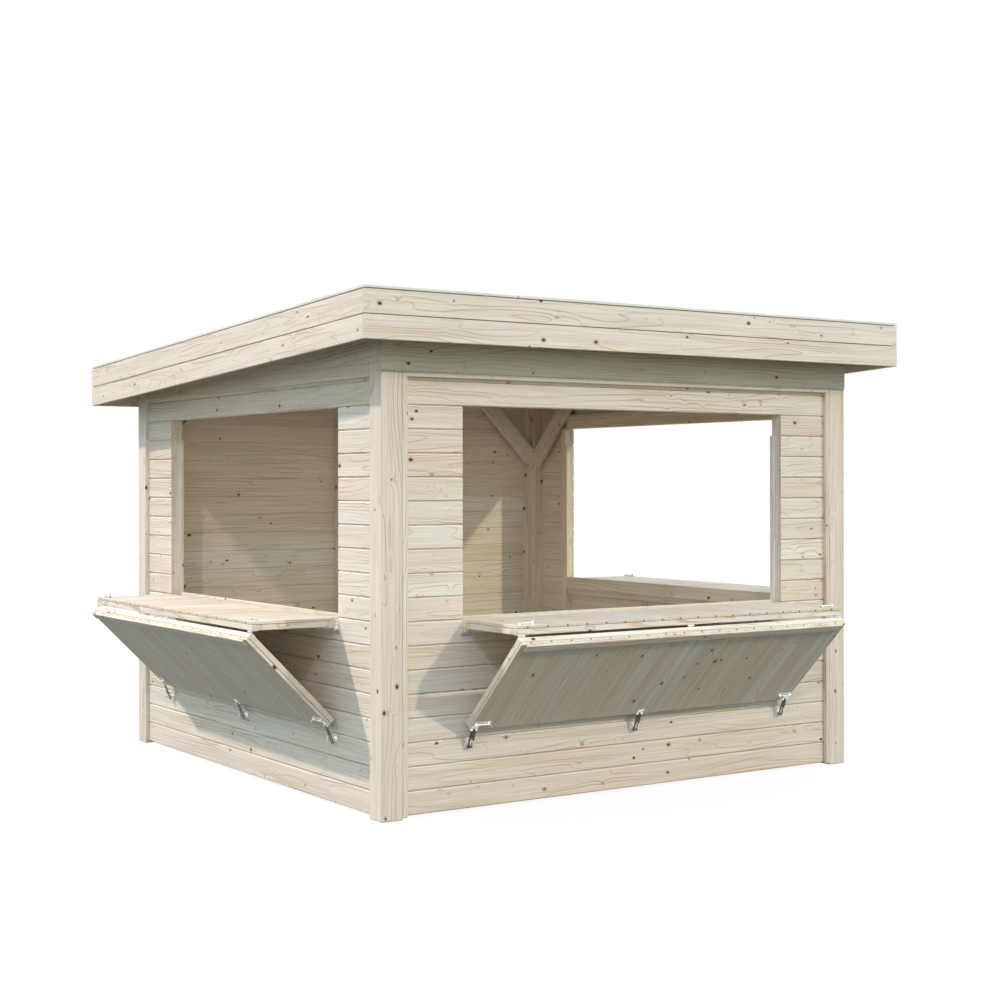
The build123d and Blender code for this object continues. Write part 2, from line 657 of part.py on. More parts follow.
    # leaves on the wall under the sill, and the staples that the hasps close over
    staple_height = pivot.Z - (hasp_length - hasp_margin - hasp_slot_length / 2) * math.cos(lean)
    with BuildPart(plane) as sill_leaves:
        for middle in panel_hinges:
            outward = (middle > 0) - (middle < 0)
            outer_knuckles(middle, sill_hinge_length, sill_hinge_radius, -sill_axis_drop, sill_axis_height)
            knuckle_third = sill_hinge_length / 6 + knuckle_clearance
            web_low = sill_axis_height - web
            web_high = sill_axis_height + web
            web_out = -sill_axis_drop
            leaf_left = middle - sill_hinge_length / 2
            leaf_right = middle + sill_hinge_length / 2
            bar(leaf_left, middle - knuckle_third, web_out, -hinge_plate, web_low, web_high)
            bar(middle + knuckle_third, leaf_right, web_out, -hinge_plate, web_low, web_high)
            bar(leaf_left, middle - knuckle_third, -hinge_plate, 0, sill_height, web_high)
            bar(middle + knuckle_third, leaf_right, -hinge_plate, 0, sill_height, web_high)
            plate_middle = middle + outward * (sill_plate_width - sill_hinge_length) / 2
            plate_left = plate_middle - sill_plate_width / 2
            plate_right = plate_middle + sill_plate_width / 2
            bar(plate_left, plate_right, -hinge_plate, 0, sill_height - sill_plate_height, sill_height)
    sill_hinges += sill_leaves.part.solids()
    with BuildPart(plane) as staple_pieces:
        tab = staple_plate_size / 2
        leg_start = -staple_plate - joint_gap
        leg_end = staple_wire + joint_gap - staple_reach
        leg_low = staple_height - staple_half_height
        leg_high = staple_height + staple_half_height
        for middle in panel_hinges:
            bar(middle - tab, middle + tab, -staple_plate, 0, staple_height - tab, staple_height + tab)
            wire_left = middle - staple_wire
            wire_right = middle + staple_wire
            for leg in (leg_low, leg_high):
                bar(wire_left, wire_right, leg_end, leg_start, leg - staple_wire, leg + staple_wire)
            loop_low = leg_low - staple_wire
            loop_high = leg_high + staple_wire
            loop_in = staple_wire - staple_reach
            bar(wire_left, wire_right, -staple_reach - staple_wire, loop_in, loop_low, loop_high)
    staples += staple_pieces.part.solids()
save(Compound(children=sill_hinges), "sill_hinges")
save(Compound(children=staples), "staples")
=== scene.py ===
"""Looks of the timber market stall: boards, framing, hatches, fittings, light and camera.

Lengths are in metres, and in millimetres for steel fittings, which are carried to their places at the
end.  A wall's own frame has x along the wall, y into the stall and z up, with its origin at the foot of
the boards' outer face in the middle of the wall.
"""

import json
import logging
import math
import random
from collections.abc import Callable, Iterator
from contextlib import contextmanager
from dataclasses import dataclass, field
from enum import Enum
from functools import partial

import bpy
from mathutils import Matrix, Vector


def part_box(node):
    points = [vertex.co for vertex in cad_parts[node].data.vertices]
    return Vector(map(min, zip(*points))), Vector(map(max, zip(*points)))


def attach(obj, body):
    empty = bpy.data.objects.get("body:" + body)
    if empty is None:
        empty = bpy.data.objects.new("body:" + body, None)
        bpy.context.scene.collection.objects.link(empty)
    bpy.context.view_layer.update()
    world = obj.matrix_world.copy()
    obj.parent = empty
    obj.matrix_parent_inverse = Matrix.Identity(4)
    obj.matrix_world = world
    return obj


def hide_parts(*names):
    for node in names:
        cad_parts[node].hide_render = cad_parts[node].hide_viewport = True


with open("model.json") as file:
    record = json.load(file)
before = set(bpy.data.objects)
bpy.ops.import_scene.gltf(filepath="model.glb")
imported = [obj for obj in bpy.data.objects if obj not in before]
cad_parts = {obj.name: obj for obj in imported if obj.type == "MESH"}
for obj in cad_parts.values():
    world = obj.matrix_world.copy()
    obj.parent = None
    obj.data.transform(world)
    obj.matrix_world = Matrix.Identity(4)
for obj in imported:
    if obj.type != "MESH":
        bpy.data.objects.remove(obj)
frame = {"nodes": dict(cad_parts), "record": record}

LOG = logging.getLogger("market_stall")
MM = 0.001
TO_METRES = Matrix.Scale(MM, 4)
MERGE = 1e-6  # corners closer than this are one
Piece = bpy.types.Object
Socket = bpy.types.NodeSocket
Vec = tuple[float, float, float]
Path = list[tuple[float, float]]
Ramp = tuple[float, float, float, float]
Pick = Callable[[Vector, Vector], bool]
ALONG: Vec = (1, 0, 0)  # in a wall's own frame
OUT: Vec = (0, -1, 0)
UP: Vec = (0, 0, 1)
DOWN: Vec = (0, 0, -1)


# ---- operators -----------------------------------------------------------------------------
def deselect() -> None:
    """Go to object mode, with nothing selected."""
    if bpy.context.object and bpy.context.object.mode != "OBJECT":
        bpy.ops.object.mode_set(mode="OBJECT")
    bpy.ops.object.select_all(action="DESELECT")


def hold(*pieces: Piece) -> None:
    """Select the pieces alone and make the first one active.

    Args:
        pieces: The objects to select.
    """
    deselect()
    for piece in pieces:
        piece.select_set(True)
    bpy.context.view_layer.objects.active = pieces[0]


@contextmanager
def editing(piece: Piece, everything: bool = False) -> Iterator[None]:
    """Edit a piece's mesh, and return to object mode after it.

    Args:
        piece: The object to edit.
        everything: Whether all of it is selected first.
    """
    hold(piece)
    bpy.ops.object.mode_set(mode="EDIT")
    if everything:
        bpy.ops.mesh.select_all(action="SELECT")
    yield
    bpy.ops.object.mode_set(mode="OBJECT")


def apply_modifier(piece: Piece, kind: str, **settings: object) -> None:
    """Add a modifier to a piece and apply it.

    Args:
        piece: The object to change.
        kind: The modifier's type.
        settings: The modifier's settings.
    """
    hold(piece)
    modifier = piece.modifiers.new(kind.lower(), kind)
    for name, value in settings.items():
        setattr(modifier, name, value)
    bpy.ops.object.modifier_apply(modifier=modifier.name)


def smooth(piece: Piece, angle: float) -> None:
    """Shade a piece smooth, apart from its sharp edges.

    Args:
        piece: The object to shade.
        angle: Edges sharper than this stay sharp, in degrees.
    """
    hold(piece)
    bpy.ops.object.shade_smooth_by_angle(angle=math.radians(angle))


def settle(piece: Piece) -> None:
    """Put the piece's place, turn and size into its mesh."""
    hold(piece)
    bpy.ops.object.transform_apply(location=True, rotation=True, scale=True)


def move_to(piece: Piece, place: Matrix) -> Piece:
    """Carry a settled piece into another frame.

    Args:
        piece: An object whose place is in its mesh.
        place: The frame to carry it into.

    Returns:
        The same object, with its place in its mesh.
    """
    piece.data.transform(place)
    piece.data.update()
    return piece


def facing(place: Vec | Vector, way: Vec | Vector) -> Matrix:
    """Frame at a point, with its z along a direction.

    Args:
        place: The point.
        way: The direction.

    Returns:
        The frame, as a matrix.
    """
    return Matrix.Translation(place) @ Vector(way).to_track_quat("Z", "Y").to_matrix().to_4x4()


def copy_of(piece: Piece, shift: Vec = (0, 0, 0)) -> Piece:
    """Copy a piece with a mesh of its own.

    Args:
        piece: The object to copy.
        shift: How far the copy is moved.

    Returns:
        The copy.
    """
    twin = bpy.data.objects.new(piece.name, piece.data.copy())
    bpy.context.scene.collection.objects.link(twin)
    return move_to(twin, Matrix.Translation(shift))


def joined(pieces: list[Piece], name: str) -> Piece:
    """Join pieces into one object.

    Args:
        pieces: The objects to join.
        name: The name of the joined object.

    Returns:
        The joined object.
    """
    hold(*pieces)
    if len(pieces) > 1:
        bpy.ops.object.join()
    whole = bpy.context.view_layer.objects.active
    whole.name = name
    whole.data.name = name
    return whole


def ease(piece: Piece, width: float, pick: Pick, segments: int = 1) -> None:
    """Bevel the edges that a test picks.

    Args:
        piece: The object to edit.
        width: The width of the bevel.
        pick: Test of an edge's middle and its direction.
        segments: The faces across the bevel.
    """
    with editing(piece):
        bpy.ops.mesh.select_mode(type="EDGE")
        bpy.ops.mesh.select_all(action="DESELECT")
    for edge in piece.data.edges:
        start, end = (piece.data.vertices[index].co for index in edge.vertices)
        edge.select = pick((start + end) / 2, (end - start).normalized())
    if any(edge.select for edge in piece.data.edges):
        with editing(piece):
            bpy.ops.mesh.bevel(offset=width, segments=segments, affect="EDGES", clamp_overlap=True)


def every_edge(_middle: Vector, _way: Vector) -> bool:
    """Pick every edge."""
    return True


def block(low: Vec, high: Vec, bevel: float = 0.0, segments: int = 1) -> Piece:
    """Make a straight piece between two corners.

    Args:
        low: Its lowest corner.
        high: Its highest corner.
        bevel: Width of the bevel on all its edges.
        segments: The faces across the bevel.

    Returns:
        The new object, with its place in its mesh.
    """
    deselect()
    bpy.ops.mesh.primitive_cube_add(size=1.0)
    bpy.ops.transform.resize(value=[b - a for a, b in zip(low, high)])
    bpy.ops.transform.translate(value=[(a + b) / 2 for a, b in zip(low, high)])
    piece = bpy.context.object
    settle(piece)
    if bevel:
        ease(piece, bevel, every_edge, segments)
    return piece


def rod(start: Vec, end: Vec, radius: float, sides: int = 16, bevel: float = 0.0) -> Piece:
    """Make a round piece between two points.

    Args:
        start: The middle of one end.
        end: The middle of the other end.
        radius: Its radius.
        sides: The faces around it.
        bevel: Width of the bevel around its ends.

    Returns:
        The new object, with its place in its mesh.
    """
    run = Vector(end) - Vector(start)
    deselect()
    bpy.ops.mesh.primitive_cylinder_add(vertices=sides, radius=radius, depth=run.length)
    piece = bpy.context.object
    if bevel:
        rim = 0.499 * run.length
        ease(piece, bevel, lambda middle, way: abs(way.z) < 0.5 and abs(middle.z) > rim, 2)
    move_to(piece, facing((Vector(start) + Vector(end)) / 2, run))
    smooth(piece, 35)
    return piece


def bent_rod(points: list[Vec], radius: float, sides: int = 3) -> Piece:
    """Make a wire of one thickness through a list of points.

    Args:
        points: The points along the middle of the wire.
        radius: The wire's radius.
        sides: The curve's bevel resolution.

    Returns:
        The new mesh object, with closed ends.
    """
    deselect()
    bpy.ops.curve.primitive_nurbs_path_add()
    piece = bpy.context.object
    piece.data.splines.clear()
    line = piece.data.splines.new("POLY")
    line.points.add(len(points) - 1)
    for point, place in zip(line.points, points):
        point.co = (*place, 1)
    piece.data.bevel_depth = radius
    piece.data.bevel_resolution = sides
    piece.data.use_fill_caps = True
    bpy.ops.object.convert(target="MESH")
    piece = bpy.context.object
    settle(piece)
    smooth(piece, 40)
    return piece


def bent_sheet(path: Path, x0: float, x1: float, thickness: float) -> Piece:
    """Bend a strip of sheet: an edge along x is drawn along a path, then given its thickness.

    Args:
        path: The y and z of the middle of the sheet, from end to end.
        x0: One edge of the strip.
        x1: Its other edge.
        thickness: The thickness of the sheet.

    Returns:
        The new object, with its place in its mesh.
    """
    deselect()
    bpy.ops.mesh.primitive_plane_add(size=1.0)
    piece = bpy.context.object
    for corner in piece.data.vertices:
        corner.co.x = x0 if corner.co.x < 0 else x1
    with editing(piece):
        bpy.ops.mesh.select_mode(type="VERT")
        bpy.ops.mesh.select_all(action="DESELECT")
    for corner in piece.data.vertices:
        corner.select = corner.co.y > 0
    with editing(piece):
        bpy.ops.mesh.delete(type="VERT")
        bpy.ops.mesh.select_all(action="SELECT")
        bpy.ops.transform.translate(value=(0, path[0][0] + 0.5, path[0][1]))
        for start, end in zip(path, path[1:]):
            step = (0, end[0] - start[0], end[1] - start[1])
            bpy.ops.mesh.extrude_region_move(TRANSFORM_OT_translate={"value": step})
    apply_modifier(piece, "SOLIDIFY", thickness=thickness, offset=0, use_even_offset=True)
    with editing(piece, True):
        bpy.ops.mesh.normals_make_consistent(inside=False)
    apply_bevel(piece, 0.15 * thickness, 1, 60)
    smooth(piece, 50)
    return piece


def plate(low: Vec, high: Vec, corner: float, bevel: float = 0.4) -> Piece:
    """Cut a flat plate with rounded corners.

    Args:
        low: Its lowest corner.
        high: Its highest corner.
        corner: The radius of its corners.
        bevel: The bevel along its faces' edges.

    Returns:
        The new object, with its place in its mesh.
    """
    piece = block(low, high)
    sizes = [b - a for a, b in zip(low, high)]
    thin = sizes.index(min(sizes))
    ease(piece, corner, lambda middle, way: abs(way[thin]) > 0.9, 4)
    if bevel:
        apply_bevel(piece, bevel, 1, 60)
    return piece


def carve(piece: Piece, cutter: Piece) -> None:
    """Cut one shape out of another.

    Args:
        piece: The object to cut.
        cutter: The shape to take away, which is used up.
    """
    apply_modifier(piece, "BOOLEAN", operation="DIFFERENCE", solver="EXACT", object=cutter)
    bpy.data.objects.remove(cutter)


def apply_bevel(piece: Piece, width: float, segments: int = 2, angle: float = 30) -> None:
    """Ease the sharp edges of a finished shape.

    Args:
        piece: The object to edit.
        width: The width of the bevel.
        segments: The faces across the bevel.
        angle: Edges sharper than this are bevelled, in degrees.
    """
    apply_modifier(piece, "BEVEL", width=width, segments=segments, limit_method="ANGLE",
                   angle_limit=math.radians(angle), harden_normals=False)


def step_top(piece: Piece, rim: float, rise: float) -> None:
    """Raise or sink the middle of a piece's top face.

    Args:
        piece: The object to edit.
        rim: Width of the rim that stays.
        rise: How far the middle is raised.
    """
    for face in piece.data.polygons:
        face.select = face.normal.z > 0.99
    with editing(piece):
        bpy.ops.mesh.select_mode(type="FACE")
        bpy.ops.mesh.inset(thickness=rim, depth=0)
        bpy.ops.mesh.extrude_region_move(TRANSFORM_OT_translate={"value": (0, 0, rise)})


def trim(piece: Piece, way: Vec | Vector, start: Vec | Vector, end: Vec | Vector) -> None:
    """Cut off what lies before one plane and beyond another, and close the cuts.

    Args:
        piece: The object to cut.
        way: The direction from plane to plane, square to both.
        start: A point on the first plane.
        end: A point on the other plane.
    """
    with editing(piece):
        for place, outer in ((start, False), (end, True)):
            bpy.ops.mesh.select_all(action="SELECT")
            bpy.ops.mesh.bisect(plane_co=place, plane_no=way, use_fill=True, clear_inner=not outer,
                                clear_outer=outer)


def cleaned_copy(node: str) -> Piece:
    """Copy a CAD node's mesh, with its loose triangles merged into flat faces.

    Args:
        node: The name of the CAD node.

    Returns:
        The copy.
    """
    piece = copy_of(frame["nodes"][node])
    piece.data.materials.clear()
    with editing(piece, True):
        bpy.ops.mesh.remove_doubles(threshold=MERGE)
        bpy.ops.mesh.dissolve_limited(angle_limit=math.radians(0.5))
    return piece


def corners_in(place: Matrix, node: str) -> list[Vector]:
    """Corners of a CAD node in another frame.

    Args:
        place: The frame, in metres.
        node: The name of the CAD node.

    Returns:
        The corners, in millimetres.
    """
    inward = place.inverted()
    return [inward @ corner.co / MM for corner in frame["nodes"][node].data.vertices]


def split(piece: Piece) -> list[Piece]:
    """Separate a piece into its loose parts, in the order of their places.

    Args:
        piece: The object to separate.

    Returns:
        The parts.
    """
    hold(piece)
    bpy.ops.mesh.separate(type="LOOSE")
    parts = list(bpy.context.selected_objects)
    return sorted(parts, key=lambda part: tuple(round(v, 4) for v in middle_of(part)))


def middle_of(piece: Piece) -> Vector:
    """Middle of a piece's corners."""
    total = sum((corner.co for corner in piece.data.vertices), Vector())
    return total / len(piece.data.vertices)


def pull_in(piece: Piece, way: Vector, by: float) -> None:
    """Draw the flat sides that face one way back into a piece.

    Args:
        piece: A straight-sided timber.
        way: The direction that those sides face.
        by: How far they are drawn back.
    """
    mesh = piece.data
    corners = {index for face in mesh.polygons if face.normal.dot(way) > 0.95 for index in face.vertices}
    for index in corners:
        mesh.vertices[index].co -= way * by


def cut_into_boards(piece: Piece, origin: Vector, way: Vector, cover: float, gap: float,
                    ) -> list[Piece]:
    """Cut a slab into boards with narrow gaps between them.

    Args:
        piece: The slab.
        origin: Where the first board starts.
        way: The direction from board to board.
        cover: From one board to the next.
        gap: The gap between boards.

    Returns:
        The boards.
    """
    way = way.normalized()
    reach = max((corner.co - origin).dot(way) for corner in piece.data.vertices)
    boards = []
    for course in range(math.ceil(reach / cover)):
        board = copy_of(piece)
        start, end = course * cover + gap / 2, (course + 1) * cover - gap / 2
        trim(board, way, origin + way * start, origin + way * end)
        if board.data.vertices:
            boards.append(board)
        else:
            bpy.data.objects.remove(board)
    bpy.data.objects.remove(piece)
    return boards


# ---- grain ---------------------------------------------------------------------------------
LOG_REACH = 40.0  # size of the log that the pieces are taken from
CUT_SPREAD = 0.3  # how much the share of straight grain differs from piece to piece


class Cut(Enum):
    """How a piece was sawn from the log, with the share of straight grain that shows."""

    BOARD = 0.25
    PANEL = 0.75
    SQUARE = 0.5


def grain_axes(piece: Piece) -> tuple[Vector, Vector, Vector]:
    """Find how a timber lies.

    Args:
        piece: One straight timber.

    Returns:
        Unit vectors along it, across its face, and through its thickness.
    """
    mesh = piece.data
    corners = mesh.vertices

    def run(edge: bpy.types.MeshEdge) -> Vector:
        """Vector from one end of an edge to the other."""
        return corners[edge.vertices[1]].co - corners[edge.vertices[0]].co

    along = max((run(edge) for edge in mesh.edges), key=lambda v: round(v.length, 4)).normalized()
    sides = [face for face in mesh.polygons if abs(face.normal.dot(along)) < 0.1]
    through = max(sides, key=lambda face: round(face.area, 5)).normal.copy()
    through = (through - along * through.dot(along)).normalized()
    return along, through.cross(along), through


def add_grain(piece: Piece, name: str, cut: Cut) -> Piece:
    """Give one timber its own place in the log, as attributes of its mesh.

    Args:
        piece: The timber, with its place in its mesh.
        name: A name that fixes its random draws.
        cut: How it was sawn.

    Returns:
        The same object.
    """
    draw = random.Random(name)
    along, across, through = grain_axes(piece)
    flip = draw.choice((-1, 1))
    shift = Vector([draw.uniform(0, LOG_REACH) for _ in range(3)])
    middle = middle_of(piece)
    mesh = piece.data
    grain = mesh.attributes.new("grain", "FLOAT_VECTOR", "POINT")
    for corner, value in zip(mesh.vertices, grain.data):
        place = corner.co - middle
        value.vector = Vector((place.dot(along) * flip, place.dot(across), place.dot(through) * flip)) + shift
    straight = min(1.0, max(0.0, draw.gauss(cut.value, CUT_SPREAD)))
    board = mesh.attributes.new("board", "FLOAT_VECTOR", "POINT")
    value = (draw.random(), straight, draw.random())
    for corner in board.data:
        corner.vector = value
    end = mesh.attributes.new("end_grain", "FLOAT", "FACE")
    for face, share in zip(mesh.polygons, end.data):
        share.value = float(abs(face.normal.dot(along)) > 0.8)
    return piece


# ---- finishes ------------------------------------------------------------------------------
def linear(hex_colour: str) -> tuple[float, float, float, float]:
    """Turn an sRGB hex colour into linear light.

    Args:
        hex_colour: Six hex digits after a hash sign.

    Returns:
        Red, green, blue and alpha.
    """
    parts = [int(hex_colour[i:i + 2], 16) / 255 for i in (1, 3, 5)]
    return (*[p / 12.92 if p <= 0.04045 else ((p + 0.055) / 1.055) ** 2.4 for p in parts], 1.0)


def add(tree: bpy.types.NodeTree, kind: str, inputs: dict | tuple = (), **settings: object,
        ) -> bpy.types.bpy_prop_collection:
    """Add a node with its settings, values and links.

    Args:
        tree: The node tree to add to.
        kind: The node's type, without the words that all shader nodes start with.
        inputs: Values or sockets, in the order of the inputs or by their names or numbers.
        settings: The node's own settings.

    Returns:
        The new node's outputs.
    """
    node = tree.nodes.new("ShaderNode" + kind)
    for name, value in settings.items():
        setattr(node, name, value)
    for name, value in (inputs if isinstance(inputs, dict) else dict(enumerate(inputs))).items():
        if isinstance(value, Socket):
            tree.links.new(value, node.inputs[name])
        else:
            node.inputs[name].default_value = value
    return node.outputs


def new_material(name: str) -> tuple[bpy.types.Material, Callable]:
    """Make an empty node material.

    Args:
        name: The material's name.

    Returns:
        The material, and the function that adds nodes to it.
    """
    material = bpy.data.materials.new(name)
    material.use_nodes = True
    material.node_tree.nodes.clear()
    return material, partial(add, material.node_tree)


@dataclass(frozen=True)
class PlanedSpruce:
    """Planed, untreated spruce: cream, with thin tan year rings and small dark knots.

    The planing leaves it matt with a faint sheen along the fibres.  A ramp gives the two ends of a
    range and the two values that they are turned into.
    """

    name: str = "planed_spruce"
    pale: str = "#eee9e0"
    warm: str = "#e8dbc8"
    pink: str = "#ead9ce"
    ring: str = "#c49c74"
    streak: str = "#d8c8ae"
    knot: str = "#4c3220"
    knot_edge: str = "#b87a42"
    end: str = "#dccdb2"
    pink_share: float = 0.6
    end_share: float = 0.5
    knot_spacing: float = 80 * MM  # between knots in the log
    knot_stretch: float = 0.72  # below 1, they are longer along the grain
    knotless: float = 0.25  # share of places without a knot
    largest_knot: float = 8.5 * MM  # radius
    smallest_knot: float = 3 * MM
    knot_core: Ramp = (0.85, 1.1, 1.0, 0.0)  # over the distance in radii
    knot_halo: Ramp = (0.9, 2.2, 0.8, 0.0)
    knot_lift: Ramp = (0.0, 40 * MM, 0.7, 0.0)  # how far the rings bend around it, in rings
    ring_length: float = 900 * MM  # of the long loops that flat-sawn rings make
    ring_width: float = 85 * MM
    ring_count: float = 8.0
    ring_line: float = 4.5 * MM  # half the width of one line
    ring_step: float = 2 * MM  # over which the slope of the field is taken
    ring_slope: float = 0.006  # least slope, in rings a step
    ring_crowd: float = 3.2  # 1 over the widest half line, in rings
    ring_edge: Ramp = (0.1, 1.0, 1.0, 0.0)
    ring_fade: Ramp = (0.36, 0.64, 0.08, 0.7)
    fade_patches: Vec = (1.4, 9, 9)  # a metre, along and across the grain
    straight_ring: float = 13 * MM  # between straight rings
    fibre: float = 7 * MM  # real fibres are finer; this is what shows
    fibre_length: float = 380 * MM
    fibre_shade: Ramp = (0.3, 0.7, 0.87, 1.08)
    fibre_rough: Ramp = (0.3, 0.7, 0.62, 0.78)
    streak_patches: Vec = (1.0, 26, 26)
    streak_share: Ramp = (0.45, 0.75, 0.0, 0.5)
    ior: float = 1.45
    relief: float = 0.25
    relief_depth: float = 0.4 * MM

    def ring_field(self, node: Callable, grain: Socket, straight: Socket, beside: float) -> Socket:
        """Count the year rings at a point of the log, or at one a little across from it.

        Args:
            node: Adds nodes to the tree.
            grain: The point's place in the log.
            straight: Share of straight grain.
            beside: How far across the board from that point.

        Returns:
            The ring count.
        """
        place = node("VectorMath", (grain, (0, beside, 0)), operation="ADD")[0]
        patches = (1 / self.ring_length, 1 / self.ring_width, 1 / self.ring_width)
        drawn = node("VectorMath", (place, patches), operation="MULTIPLY")[0]
        loops = node("TexNoise", {"Vector": drawn, "Scale": 1.0, "Detail": 1.0, "Roughness": 0.3,
                                  "Distortion": 0.1})[0]
        loops = node("Math", (loops, self.ring_count), operation="MULTIPLY")[0]
        across = node("SeparateXYZ", (place,))[1]
        lines = node("Math", (across, 1 / self.straight_ring), operation="MULTIPLY")[0]
        lines = node("Math", (lines, straight), operation="MULTIPLY")[0]
        return node("Math", (loops, lines), operation="ADD")[0]

    def knots(self, node: Callable, grain: Socket) -> tuple[Socket, Socket, Socket]:
        """Make the knots: spheres in the log, of which the surface shows a slice.

        Args:
            node: Adds nodes to the tree.
            grain: The point's place in the log.

        Returns:
            The shares of a knot's core and of its halo, and how far the rings bend around it.
        """
        squeezed = node("VectorMath", (grain, (self.knot_stretch, 1, 1)), operation="MULTIPLY")[0]
        cells = node("TexVoronoi", {"Vector": squeezed, "Scale": 1 / self.knot_spacing})
        away = node("Math", (cells["Distance"], self.knot_spacing), operation="MULTIPLY")[0]
        chance, kind, _ = node("SeparateColor", (cells["Color"],))
        radius = node("MapRange", (chance, self.knotless, 1.0, self.smallest_knot, self.largest_knot))[0]
        present = node("Math", (chance, self.knotless), operation="GREATER_THAN")[0]
        ratio = node("Math", (away, radius), operation="DIVIDE")[0]
        marks = []
        for distance, ramp, form in ((ratio, self.knot_core, "SMOOTHSTEP"),
                                     (ratio, self.knot_halo, "SMOOTHSTEP"),
                                     (away, self.knot_lift, "SMOOTHERSTEP")):
            mark = node("MapRange", (distance, *ramp), interpolation_type=form)[0]
            marks.append(node("Math", (mark, present), operation="MULTIPLY")[0])
        core, halo, lift = marks
        return core, node("Math", (halo, kind), operation="MULTIPLY")[0], lift

    def rings(self, node: Callable, grain: Socket, straight: Socket, lift: Socket, cloud: Socket) -> Socket:
        """Make the year rings: thin contour lines of a field that is long along the grain.

        Args:
            node: Adds nodes to the tree.
            grain: The point's place in the log.
            straight: Share of straight grain.
            lift: How far the rings bend around a knot.
            cloud: The noise by which they fade.

        Returns:
            The share of a ring's line.
        """
        here, beside = (self.ring_field(node, grain, straight, step) for step in (0.0, self.ring_step))
        slope, phase = beside, here
        for step, *value in (("SUBTRACT", here), ("ABSOLUTE",), ("MAXIMUM", self.ring_slope)):
            slope = node("Math", (slope, *value), operation=step)[0]
        for step, *value in (("ADD", lift), ("FRACT",), ("SUBTRACT", 0.5), ("ABSOLUTE",)):
            phase = node("Math", (phase, *value), operation=step)[0]
        dense = node("Math", (phase, self.ring_crowd), operation="MULTIPLY")[0]
        off = phase
        thin = self.ring_step / self.ring_line
        for step, value in (("DIVIDE", slope), ("MULTIPLY", thin), ("MAXIMUM", dense)):
            off = node("Math", (off, value), operation=step)[0]
        line = node("MapRange", (off, *self.ring_edge), interpolation_type="SMOOTHSTEP")[0]
        fade = node("MapRange", (cloud, *self.ring_fade))[0]
        return node("Math", (line, fade), operation="MULTIPLY")[0]

    def build(self) -> bpy.types.Material:
        """Make the material.

        Returns:
            The material, which reads the attributes that add_grain writes.
        """
        material, node = new_material(self.name)
        grain, board = (node("Attribute", attribute_name=name)["Vector"] for name in ("grain", "board"))
        end = node("Attribute", attribute_name="end_grain")["Fac"]
        tone, straight, blush = node("SeparateXYZ", (board,))
        core, halo, lift = self.knots(node, grain)
        clouds = []
        for patches, detail in ((self.fade_patches, 2.0), (self.streak_patches, 3.0),
                                ((1 / self.fibre_length, 1 / self.fibre, 1 / self.fibre), 2.0)):
            drawn = node("VectorMath", (grain, patches), operation="MULTIPLY")[0]
            clouds.append(node("TexNoise", {"Vector": drawn, "Scale": 1.0, "Detail": detail})[0])
        fade, streak, fibre = clouds
        ring = self.rings(node, grain, straight, lift, fade)
        streak = node("MapRange", (streak, *self.streak_share))[0]
        blush = node("Math", (blush, self.pink_share), operation="MULTIPLY")[0]
        worn = node("Math", (end, self.end_share), operation="MULTIPLY")[0]
        colour = linear(self.pale)
        for share, tint in ((tone, self.warm), (blush, self.pink), (streak, self.streak), (ring, self.ring),
                            (halo, self.knot_edge), (core, self.knot), (worn, self.end)):
            colour = node("Mix", {0: share, 6: colour, 7: linear(tint)}, data_type="RGBA")[2]
        shade = node("MapRange", (fibre, *self.fibre_shade))[0]
        colour = node("VectorMath", {0: colour, "Scale": shade}, operation="SCALE")[0]
        rough = node("MapRange", (fibre, *self.fibre_rough))[0]
        relief = node("Math", (ring, fibre), operation="ADD")[0]
        bump = node("Bump", {"Height": relief, "Strength": self.relief, "Distance": self.relief_depth})[0]
        wood = node("BsdfPrincipled", {"Base Color": colour, "Roughness": rough, "IOR": self.ior,
                                       "Normal": bump})[0]
        node("OutputMaterial", {"Surface": wood})
        return material


@dataclass(frozen=True)
class PrimedSpruce(PlanedSpruce):
    """Planed spruce with one thin white coat of primer, which leaves the year rings faint."""

    name: str = "primed_spruce"
    pale: str = "#eeebe2"
    warm: str = "#e8e4d8"
    pink: str = "#ebe5dc"
    ring: str = "#d3d1c2"
    streak: str = "#e0e0d5"
    knot: str = "#b7ab99"
    knot_edge: str = "#d2c8b8"
    end: str = "#e6e3d6"


@dataclass(frozen=True)
class WeatheredSpruce(PlanedSpruce):
    """Spruce painted darker and greyer than planed wood, with duller year rings: painted shade that keeps the
    roof deck's strongly lit top from glaring.
    """

    name: str = "weathered_spruce"
    # the darker tones below are painted shade for the deck's strongly lit top
    pale: str = "#aba08d"
    warm: str = "#a3957e"
    pink: str = "#a8998a"
    ring: str = "#84705a"
    streak: str = "#978a75"
    knot: str = "#3f2f22"
    knot_edge: str = "#7d6248"
    end: str = "#93866f"


